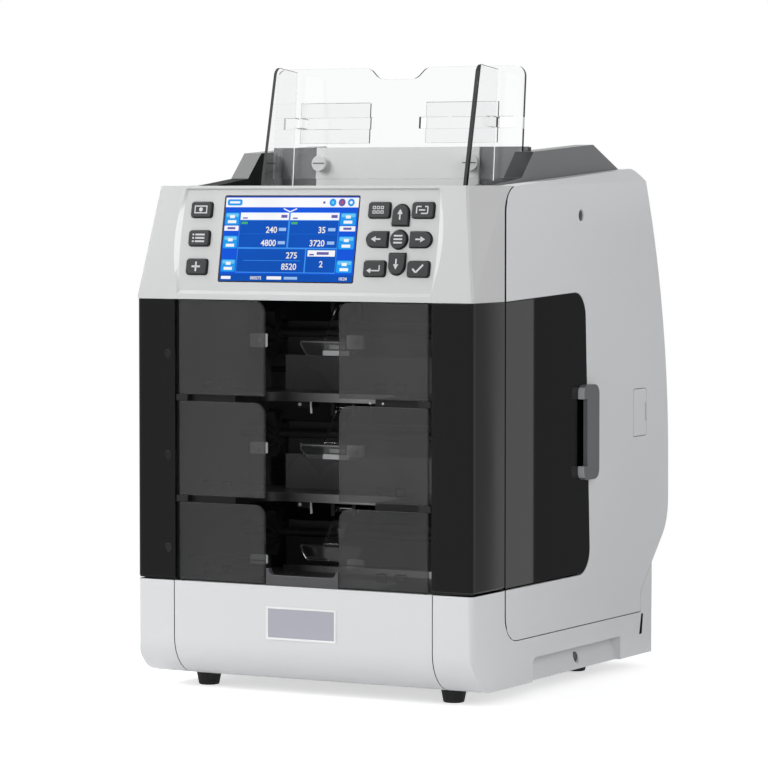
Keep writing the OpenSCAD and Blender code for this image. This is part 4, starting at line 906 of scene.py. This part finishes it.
def laid(bm, surface, name, material, node):
    """Lays a flat drawing on its surface and places it."""
    bm.transform(surface @ Matrix.Scale(MM, 4))
    return placed(bm, name, material, node)


print("drawing helpers ready")

# %% [markdown]
# ## The lit display
# The picture on the display is drawn from slabs in a few layers: a white strip, light buttons at both
# sides, dark blue fields and numbers. A colour on each face is the light it gives off, so one material
# serves the whole picture. The numbers are plain counts from Blender's built-in font, made into a mesh;
# labels are plain bars.

# %% Display material
lit_display, lit_tree, lit_shader = new_finish("lit_display")
ink_colour = put(lit_tree, "ShaderNodeAttribute", {"attribute_name": "ink"}).outputs["Color"]
uneven = ranged(lit_tree, grouped(lit_tree, GRAIN, Mottle_scale=25.0)["Mottle"], 0.3, 0.7, 0.9, 1.0)
backlight = put(lit_tree, "ShaderNodeVectorMath", {"operation": "SCALE"}, Vector=ink_colour, Scale=uneven)
lit_tree.links.new(backlight.outputs[0], lit_shader.inputs["Emission Color"])
set_evenly(lit_shader, Emission_Strength=1.0, Base_Color=(0.002, 0.003, 0.004, 1.0), Roughness=0.35,
           Specular_IOR_Level=0.02)
FINISH["lit_display"] = lit_display
print("display material ready")

# %% How the display's picture is drawn
PICTURE = (-68.3, 38.3, 13.6, 73.4)  # left, right, bottom, top on the panel, in millimetres
GLASS = -1.9  # the display's surface lies this deep in the panel
LAYER = 0.015  # the step from one level of the picture to the next
NUMBER_LEVEL = 4
DIGIT_SHARE = 0.72  # a digit's height as a share of the font's size
COLOURS = {
    "band": "#0f57df", "deep": "#0753bd", "line": "#3d95f5", "rule": "#1a66d6", "white": "#fafbff",
    "button": "#1f9df2", "shine": "#6ccbfb", "label": "#9cc4f5", "green": "#45b079", "plum": "#6a5fa8",
    "status": "#0450b6", "number": "#f6f3ea", "red": "#c8506a",
}


def across(u):
    """Place on the panel of a share of the picture's width."""
    return PICTURE[0] + u * (PICTURE[1] - PICTURE[0])


def down(t):
    """Place on the panel of a share of the picture's height, from its top."""
    return PICTURE[3] - t * (PICTURE[3] - PICTURE[2])


def inked(bm, colour):
    """Colours every face that has no colour yet."""
    layer = bm.faces.layers.float_color["ink"]
    done = bm.faces.layers.int["done"]
    for face in bm.faces:
        if not face[done]:
            face[layer] = tint(COLOURS[colour])
            face[done] = 1


def area(bm, u0, u1, t0, t1, colour, level, corner=0.0):
    """A rectangle of the picture, placed by its share of width and height."""
    slab(bm, across(u0), across(u1), down(t1), down(t0), GLASS - LAYER, GLASS + level * LAYER, corner)
    inked(bm, colour)


def number(bm, digits, u, t, height):
    """Digits as a thin solid, set by their right end and their middle height."""
    letters = bpy.data.curves.new("digits", "FONT")
    letters.body = digits
    letters.align_x = "RIGHT"
    letters.size = height / DIGIT_SHARE
    letters.offset = 0.02 * height
    letters.extrude = NUMBER_LEVEL * LAYER / 2
    writer = bpy.data.objects.new("digits", letters)
    bpy.context.scene.collection.objects.link(writer)
    mesh = bpy.data.meshes.new_from_object(writer.evaluated_get(bpy.context.evaluated_depsgraph_get()))
    mesh.transform(Matrix.Translation((across(u), down(t) - height / 2, GLASS + NUMBER_LEVEL * LAYER / 2)))
    bm.from_mesh(mesh)
    inked(bm, "number")
    bpy.data.objects.remove(writer)
    bpy.data.curves.remove(letters)
    bpy.data.meshes.remove(mesh)


print("picture helpers ready")

# %% The picture on the display
picture = bmesh.new()
picture.faces.layers.float_color.new("ink")
picture.faces.layers.int.new("done")
AREAS = (
    (0.0, 1.0, 0.0, 1.0, "band", 1),
    (0.0, 1.0, 0.012, 0.125, "white", 2),
    (0.012, 0.125, 0.032, 0.105, "button", 3, 1.4),
    (0.03, 0.107, 0.055, 0.08, "white", 4),
    (0.118, 0.868, 0.185, 0.9, "line", 2),
    (0.122, 0.487, 0.19, 0.275, "white", 3),
    (0.5, 0.864, 0.19, 0.275, "white", 3),
    (0.122, 0.487, 0.282, 0.6, "deep", 3),
    (0.5, 0.864, 0.282, 0.6, "deep", 3),
    (0.122, 0.632, 0.618, 0.89, "deep", 3),
    (0.642, 0.864, 0.618, 0.89, "deep", 3),
    (0.652, 0.856, 0.63, 0.702, "white", 4),
    (0.13, 0.48, 0.437, 0.443, "rule", 4),
    (0.508, 0.856, 0.437, 0.443, "rule", 4),
    (0.17, 0.6, 0.752, 0.758, "line", 4),
    (0.0, 1.0, 0.915, 1.0, "status", 2),
    (0.735, 0.752, 0.055, 0.082, "plum", 3, 0.5),
    (0.132, 0.178, 0.298, 0.326, "green", 4),
    (0.51, 0.556, 0.298, 0.326, "green", 4),
    (0.14, 0.176, 0.246, 0.262, "plum", 4),
    (0.518, 0.554, 0.246, 0.262, "plum", 4),
    (0.43, 0.476, 0.215, 0.25, "plum", 4),
    (0.806, 0.852, 0.215, 0.25, "plum", 4),
    (0.665, 0.7, 0.672, 0.69, "plum", 5),
    (0.72, 0.81, 0.65, 0.682, "plum", 5),
    (0.42, 0.474, 0.368, 0.405, "label", 4),
    (0.42, 0.474, 0.525, 0.562, "label", 4),
    (0.79, 0.844, 0.368, 0.405, "label", 4),
    (0.79, 0.844, 0.525, 0.562, "label", 4),
    (0.012, 0.085, 0.942, 0.978, "white", 3),
    (0.36, 0.47, 0.94, 0.978, "white", 3),
    (0.49, 0.59, 0.944, 0.976, "label", 3),
)
for values in AREAS:
    area(picture, *values)
for left, right in ((0.004, 0.112), (0.874, 0.99)):
    middle = (left + right) / 2
    for top, bottom in ((0.19, 0.335), (0.465, 0.615), (0.745, 0.89)):
        area(picture, left, right, top, bottom, "button", 3, 1.0)
        area(picture, left + 0.008, right - 0.008, top + 0.01, top + 0.05, "shine", 4, 0.6)
        area(picture, middle - 0.018, middle + 0.018, top + 0.03, top + 0.065, "white", 5)
        area(picture, middle - 0.032, middle + 0.032, bottom - 0.055, bottom - 0.02, "white", 4)
    area(picture, left, right, 0.345, 0.405, "white", 3, 0.3)
    area(picture, middle - 0.03, middle + 0.03, 0.362, 0.388, "plum", 4)
for u, colour, centre in ((0.808, "button", "shine"), (0.876, "plum", "red"), (0.944, "button", "white")):
    for radius, level, ink in ((2.7, 3, colour), (1.1, 4, centre)):
        disc(picture, across(u), down(0.068), radius, GLASS, GLASS + level * LAYER)
        inked(picture, ink)
tip = (across(0.493), down(0.178))
for turned in (-1, 1):
    end = (across(0.493 + 0.05 * turned), down(0.142))
    stroke(picture, tip, end, 0.8, GLASS, GLASS + 4 * LAYER)
    inked(picture, "white")
print("areas of the picture drawn")

# %% Numbers on the display
LARGE, SMALL = 4.4, 2.2
for values in (("240", 0.407, 0.39, LARGE), ("4800", 0.407, 0.545, LARGE), ("35", 0.772, 0.39, LARGE),
               ("3720", 0.772, 0.545, LARGE), ("275", 0.576, 0.69, LARGE), ("8520", 0.576, 0.823, LARGE),
               ("2", 0.772, 0.79, LARGE), ("000275", 0.32, 0.96, SMALL), ("10:24", 0.96, 0.96, SMALL)):
    number(picture, *values)
picture.faces.layers.int.remove(picture.faces.layers.int["done"])
laid(picture, PANEL, "display_picture", "lit_display", "screen_window")
print("display picture drawn")

# %% [markdown]
# ## Key legends
# Every key has a light legend printed on its top. Signs that need no words are drawn from strokes and
# triangles: arrows, a plus, a tick, a list. Each legend is its own thin piece that rides on its key.

# %% How a legend is drawn
KEY_TOP = 0.7  # height of a key over the panel
INK = (KEY_TOP - 0.1, KEY_TOP + 0.04)


def arrow(bm, x, v, angle):
    """A stem with a triangular head, pointing along an angle."""
    ahead = Vector((math.cos(angle), math.sin(angle)))
    stem = Vector((x, v))
    stroke(bm, stem - ahead * 3.4, stem + ahead * 1.2, 1.1, *INK)
    tip = stem + ahead * 1.6
    disc(bm, tip.x, tip.y, 2.4, *INK, sides=3, turn=angle - math.pi / 2)


def lines(bm, points, width=0.9):
    """A bent line through points."""
    for start, end in zip(points, points[1:]):
        stroke(bm, start, end, width, *INK)


def legend(bm, key, x, v):
    """The sign of one key, round its middle."""
    if key in ("up", "down", "left", "right"):
        arrow(bm, x, v, {"right": 0.0, "up": math.pi / 2, "left": math.pi, "down": -math.pi / 2}[key])
    elif key == "menu":
        for row in (-2.4, 0.0, 2.4):
            slab(bm, x - 3.4, x + 3.4, v + row - 0.55, v + row + 0.55, *INK, 0.4)
    elif key == "mode":
        for column in (-4.6, -1.5, 1.6):
            for row in (-2.6, 0.5):
                frame_of(bm, x + column, x + column + 2.4, v + row, v + row + 2.2, 0.55, *INK)
    elif key == "back":
        lines(bm, [(x - 4.4, v - 2.4), (x - 4.4, v + 2.4), (x - 0.8, v + 2.4)])
        lines(bm, [(x - 0.8, v - 2.4), (x + 4.2, v - 2.4), (x + 4.2, v + 2.4), (x + 2.0, v + 2.4)])
        lines(bm, [(x - 2.6, v), (x + 2.2, v)])
    elif key == "return":
        lines(bm, [(x + 4.4, v + 2.2), (x + 4.4, v - 1.6), (x - 2.8, v - 1.6)])
        disc(bm, x - 3.4, v - 1.6, 2.1, *INK, sides=3, turn=math.pi / 2)
    elif key == "confirm":
        lines(bm, [(x - 3.8, v), (x - 1.2, v - 2.6), (x + 4.2, v + 2.8)], 1.3)
    elif key == "left_top":
        frame_of(bm, x - 5.2, x + 5.2, v - 2.8, v + 2.8, 0.8, *INK)
        disc(bm, x, v, 1.5, *INK)
    elif key == "left_middle":
        for row in (-2.4, 0.0, 2.4):
            slab(bm, x - 5.0, x - 3.6, v + row - 0.6, v + row + 0.6, *INK)
            slab(bm, x - 2.6, x + 5.0, v + row - 0.6, v + row + 0.6, *INK)
    else:
        stroke(bm, (x - 3.4, v), (x + 3.4, v), 1.3, *INK)
        stroke(bm, (x, v - 3.4), (x, v + 3.4), 1.3, *INK)


print("signs ready")

# %% Legends on the keys
KEY_MIDDLES = {
    "left_top": (-87.0, 63.8), "left_middle": (-87.0, 43.5), "left_bottom": (-87.0, 23.2),
    "mode": (55.7, 63.8), "up": (72.7, 60.5), "back": (89.7, 63.8),
    "left": (55.7, 43.5), "menu": (72.7, 43.5), "right": (89.7, 43.5),
    "return": (55.7, 23.2), "down": (72.7, 26.5), "confirm": (89.7, 23.2),
}
for key, (x, v) in KEY_MIDDLES.items():
    sign = bmesh.new()
    legend(sign, key, x, v)
    laid(sign, PANEL, key + "_legend", "legend_ink", "key_" + key)
print(len(KEY_MIDDLES), "legends")

# %% [markdown]
# ## The framed plate
# A blank plate sits on the base: a bright raised frame round a sunk grey field. The solid's front face
# is inset, and the inner face is pushed back and takes a second slot.

# %% Framed blank plate
plate = merged_copy("nameplate")
front_face = min(plate.faces, key=lambda face: face.calc_center_median().y)
bmesh.ops.inset_region(plate, faces=[front_face], thickness=1.3 * MM, depth=0.0, use_even_offset=True)
bmesh.ops.inset_region(plate, faces=[front_face], thickness=0.2 * MM, depth=-0.45 * MM, use_even_offset=True)
front_face.material_index = 1
rounded(plate, [e for e in outer_edges(plate) if e.calc_length() > 5 * MM], 0.18, 2)
plate_piece = placed(plate, "nameplate_finish", "name_frame", "nameplate", "nameplate")
plate_piece.data.materials.append(FINISH["name_blank"])
print("framed plate:", len(plate_piece.data.polygons), "faces")

# %% [markdown]
# ## Catches and marks on the doors
# Pale catches behind the free edges of the doors, and faint square marks near their lower corners, show
# through the smoked plastic. They are slabs on the back of each door and swing with it. The lower doors
# also have a fold line.

# %% Door catches, square marks and fold lines
DOOR_BACK = -3.6  # the back of a door, measured from the front face
DOOR_BOTTOM = {"upper": 210.1, "middle": 138.8, "lower": 79.5}
CATCH_HEIGHT = {"upper": (244.0, 253.5), "middle": (169.5, 177.5), "lower": (92.0, 98.5)}
# In this upright drawing plane, across is X, up is Z, and a height of -5 lies 5 mm behind the front face.
UPRIGHT = Matrix.Translation((0.0, FRONT * MM, 0.0)) @ Matrix.Rotation(math.pi / 2, 4, "X")
MARK = (DOOR_BACK - 0.15, DOOR_BACK + 0.05)


def span(sign, inner, outer):
    """A stretch across the left (-1) or right (1) half."""
    return sorted((sign * inner, sign * outer))


for level, bottom in DOOR_BOTTOM.items():
    low, high = CATCH_HEIGHT[level]
    middle = (low + high) / 2
    for side, sign in SIDES.items():
        door = f"{level}_{side}_door"
        catch = bmesh.new()
        slab(catch, *span(sign, 32.6, 45.0), low, high, -10.5, -7.2, 0.8)
        slab(catch, *span(sign, 36.0, 41.6), middle - 1.2, middle + 1.2, -7.5, DOOR_BACK - 0.02)
        laid(catch, UPRIGHT, door + "_catch", "catch_white", door)
        marks = bmesh.new()
        for start in (58.0, 73.0):
            frame_of(marks, *span(sign, start, start + 8), bottom + 5, bottom + 11, 0.9, *MARK)
        if level == "lower":
            slab(marks, *span(sign, 31.0, 94.0), bottom + 15, bottom + 15.8, *MARK)
        laid(marks, UPRIGHT, door + "_marks", "door_mark", door)
print("doors dressed")

# %% [markdown]
# ## Note sensors and paddle rails
# Under the ceiling of the middle and lower pocket hangs a small black holder with a white sensor lens and a
# thin pale post, and a strip, bright on its right and fading to dark on its left in a painted highlight, lies
# along the foot of the lower pocket's rest plate. The two upper paddles carry a pale boss and a rail. Each
# rides on the tray or the paddle that it sits on.

# %% Sensor holders and lenses
for tray, ceiling in (("upper_tray", 204.1), ("middle_tray", 132.8)):
    holder = bmesh.new()
    slab(holder, -36.0, -23.0, ceiling - 5.0, ceiling + 0.1, -66.0, -57.0)
    soften(holder, [e for e in holder.edges if max(v.co.y for v in e.verts) < ceiling - 1], 1.0, 3)
    # the black holder takes the same dark finish as the trays' painted shade
    laid(holder, UPRIGHT, tray + "_sensor_holder", "tray_front", tray)
    lens = bmesh.new()
    disc(lens, -33.5, ceiling - 2.4, 1.3, -57.1, -56.4)
    soften(lens, [e for e in lens.edges if min(v.co.z for v in e.verts) > -56.5], 0.35, 3)
    stroke(lens, (-24.4, ceiling - 0.2), (-24.0, ceiling - 8.6), 1.2, -57.6, -56.4)
    laid(lens, UPRIGHT, tray + "_sensor_lens", "catch_white", tray)
print("sensors under two trays")

# %% Paddle bosses and rails, tray lamps, the strip with its painted highlight
for level, low in (("upper", 237.0), ("middle", 164.1)):
    boss = bmesh.new()
    slab(boss, -5.3, 16.0, low + 0.6, low + 4.0, -42.0, -40.4, 0.8)
    # the boss takes the pale finish of the grip's painted highlight
    laid(boss, UPRIGHT, level + "_paddle_boss", "grip_end_highlight", level + "_paddle")
    rail = bmesh.new()
    slab(rail, 0.0, 12.8, low + 5.2, low + 8.0, -42.0, -40.4, 0.6)
    slab(rail, -23.5, 23.5, low + 9.4, low + 10.4, -42.0, -41.2)
    # the rail takes the tray edges' painted highlight, dark on the left and pale on the right
    laid(rail, UPRIGHT, level + "_paddle_rail", "tray_edge_highlight", level + "_paddle")
lamps = bmesh.new()
for place in (52.0, 62.0):
    disc(lamps, place, 207.2, 0.8, -5.7, -5.2, sides=16)
laid(lamps, UPRIGHT, "upper_tray_lamps", "catch_white", "upper_tray")
strip = bmesh.new()
slab(strip, -61.0, 61.0, 79.7, 84.4, -84.1, -80.0)
soften(strip, list(strip.edges), 0.6, 3)
laid(strip, UPRIGHT, "lower_tray_strip", "strip_painted_highlight", "lower_tray")
print("two bosses, two rails, two lamps, one strip")

# %% [markdown]
# ## Inside
# The chassis, rollers, motor, belts and boards are rarely seen, so their solids stay and only take a
# finish.

# %% Finishes on the solids that stay
STAYS = {
    "side_plates": "chassis_paint",
    "circuit_boards": "board_green",
    "pickup_roller": "roller_rubber",
    "feed_roller": "roller_rubber",
    "upper_stacker": "stacker_blade",
    "middle_stacker": "stacker_blade",
    "lower_stacker": "stacker_blade",
    "drive_motor": "motor_steel",
    "motor_pulley": "screw_steel",
    "drive_belt": "roller_rubber",
    "upper_diverter": "tray_black",
    "lower_diverter": "tray_black",
    "power_supply": "supply_case",
    "sensor_bars": "tray_black",
}
for key, value in STAYS.items():
    data = frame["nodes"][key].data
    data.materials.clear()
    data.materials.append(FINISH[value])
print(len(STAYS), "solids keep their shape")

# %% [markdown]
# ## Studio
# The machine stands on pale paper against white. Near the machine the paper is lit and keeps the
# shadow; further out it fades to pure white, so no horizon shows. Reflections see the same white
# behind the machine and a dim room in front of it, so glossy fronts stay dark while the side catches a
# pale wall.

# %% What the camera and reflections see of the studio
ROOM_DIM, ROOM_WHITE = 0.3, 0.7  # what reflections see in front of the machine and behind it
WHITE = (1.0, 1.0, 1.0, 1.0)


def seen_by(tree, *rays):
    """1 where one of some kinds of ray arrives, and 0 elsewhere."""
    path = put(tree, "ShaderNodeLightPath").outputs
    seen = path[rays[0]]
    for ray in rays[1:]:
        seen = combined(tree, "MAXIMUM", seen, path[ray])
    return seen


DIRECT = ("Is Camera Ray", "Is Transmission Ray")
print("reflections see", ROOM_DIM, "to", ROOM_WHITE)

# %% Floor that fades to white
floor_bm = bmesh.new()
bmesh.ops.create_circle(floor_bm, cap_ends=True, radius=6.0, segments=96)
floor = new_object(floor_bm, "floor")
paper, tree, shader = new_finish("studio_paper")
set_evenly(shader, Base_Color=(0.8, 0.8, 0.8, 1.0), Roughness=0.9, Specular_IOR_Level=0.1)
plain = shader.outputs[0]
place = own_place(tree)
from_middle = put(tree, "ShaderNodeVectorMath", {"operation": "LENGTH"}, Vector=place).outputs["Value"]
fade = ranged(tree, from_middle, 0.3, 0.75, interpolation_type="SMOOTHSTEP")
glow = put(tree, "ShaderNodeEmission", Color=WHITE, Strength=0.58).outputs[0]
lit_paper = wired(tree, "ShaderNodeAddShader", plain, glow)
depth = put(tree, "ShaderNodeSeparateXYZ", Vector=place).outputs["Y"]
mirrored = ranged(tree, depth, -0.4, 0.4, ROOM_DIM, ROOM_WHITE)
far_tone = ranged(tree, seen_by(tree, *DIRECT), to_low=mirrored)
white_out = put(tree, "ShaderNodeEmission", Color=WHITE, Strength=far_tone).outputs[0]
faded = wired(tree, "ShaderNodeMixShader", fade, lit_paper, white_out)
viewed = seen_by(tree, *DIRECT, "Is Glossy Ray")
by_ray = wired(tree, "ShaderNodeMixShader", viewed, plain, faded)
tree.links.new(by_ray, tree.nodes["Material Output"].inputs["Surface"])
floor.data.materials.append(paper)
print("floor radius 6 m")

# %% World
world = bpy.data.worlds.new("studio")
bpy.context.scene.world = world
world.use_nodes = True
sky = world.node_tree
background = sky.nodes["Background"]
set_evenly(background, Color=WHITE, Strength=1.0)
looking = put(sky, "ShaderNodeTexCoord").outputs["Generated"]
depth = put(sky, "ShaderNodeSeparateXYZ", Vector=looking).outputs["Y"]
room_tone = ranged(sky, depth, -0.5, 0.6, ROOM_DIM, ROOM_WHITE)
room = put(sky, "ShaderNodeBackground", Color=WHITE, Strength=room_tone).outputs[0]
choice = wired(sky, "ShaderNodeMixShader", seen_by(sky, *DIRECT), room, background.outputs[0])
sky.links.new(choice, sky.nodes["World Output"].inputs["Surface"])
print("world: white for the camera, a gradient for light and gloss")

# %% [markdown]
# ## Lamps and cards
# A large soft key from the front left, a fill from the front right and a softbox above on the left. A
# grey card behind the machine on the right is seen only in reflections: the glossy side door shows its
# edge as a sharp step from grey to near black. A narrow second card does the same for the pillar.

# %% Lamps
MIDDLE = Vector((0.0, 0.0, 0.2))
LAMPS = {
    "key_front_left": ((-1.5, -1.9, 1.6), 1.4, 32.0),
    "fill_right": ((2.0, -1.5, 1.1), 1.6, 17.0),
    "top_soft": ((-1.32, -0.3, 1.7), 1.17, 20.0),
}
for label, (place, size, power) in LAMPS.items():
    lamp_data = bpy.data.lights.new(label, "AREA")
    lamp_data.size = size
    lamp_data.energy = power
    lamp = bpy.data.objects.new(label, lamp_data)
    lamp.location = place
    lamp.rotation_euler = (MIDDLE - Vector(place)).to_track_quat("-Z", "Y").to_euler()
    bpy.context.scene.collection.objects.link(lamp)
print("lamps:", list(LAMPS))

# %% Grey cards for the side's reflections
CARD_ALONG = Vector((-0.875, 0.48, 0.0))
CARD_HEIGHT = 0.34
CARDS = {
    "card_behind_door": (Vector((0.254, 0.174, 0.002)), 0.3, 0.13),
    "card_beside_pillar": (Vector((0.297, 0.084, 0.002)), 0.0495, 0.26),
}  # where the card's right end stands, how wide it is, how bright it looks
for label, (right_end, width, brightness) in CARDS.items():
    card_bm = bmesh.new()
    foot = card_bm.edges.new([card_bm.verts.new(right_end + CARD_ALONG * reach) for reach in (0.0, width)])
    risen = bmesh.ops.extrude_edge_only(card_bm, edges=[foot])["geom"]
    upper = [g for g in risen if isinstance(g, bmesh.types.BMVert)]
    bmesh.ops.translate(card_bm, verts=upper, vec=(0.0, 0.0, CARD_HEIGHT))
    card = new_object(card_bm, label)
    paint, tree, shader = new_finish(label)
    set_evenly(shader, Base_Color=(0.0, 0.0, 0.0, 1.0), Specular_IOR_Level=0.0, Emission_Color=WHITE,
               Emission_Strength=brightness)
    card.data.materials.append(paint)
    for ray in ("camera", "diffuse", "transmission", "shadow"):
        setattr(card, "visible_" + ray, False)
print("cards:", list(CARDS))
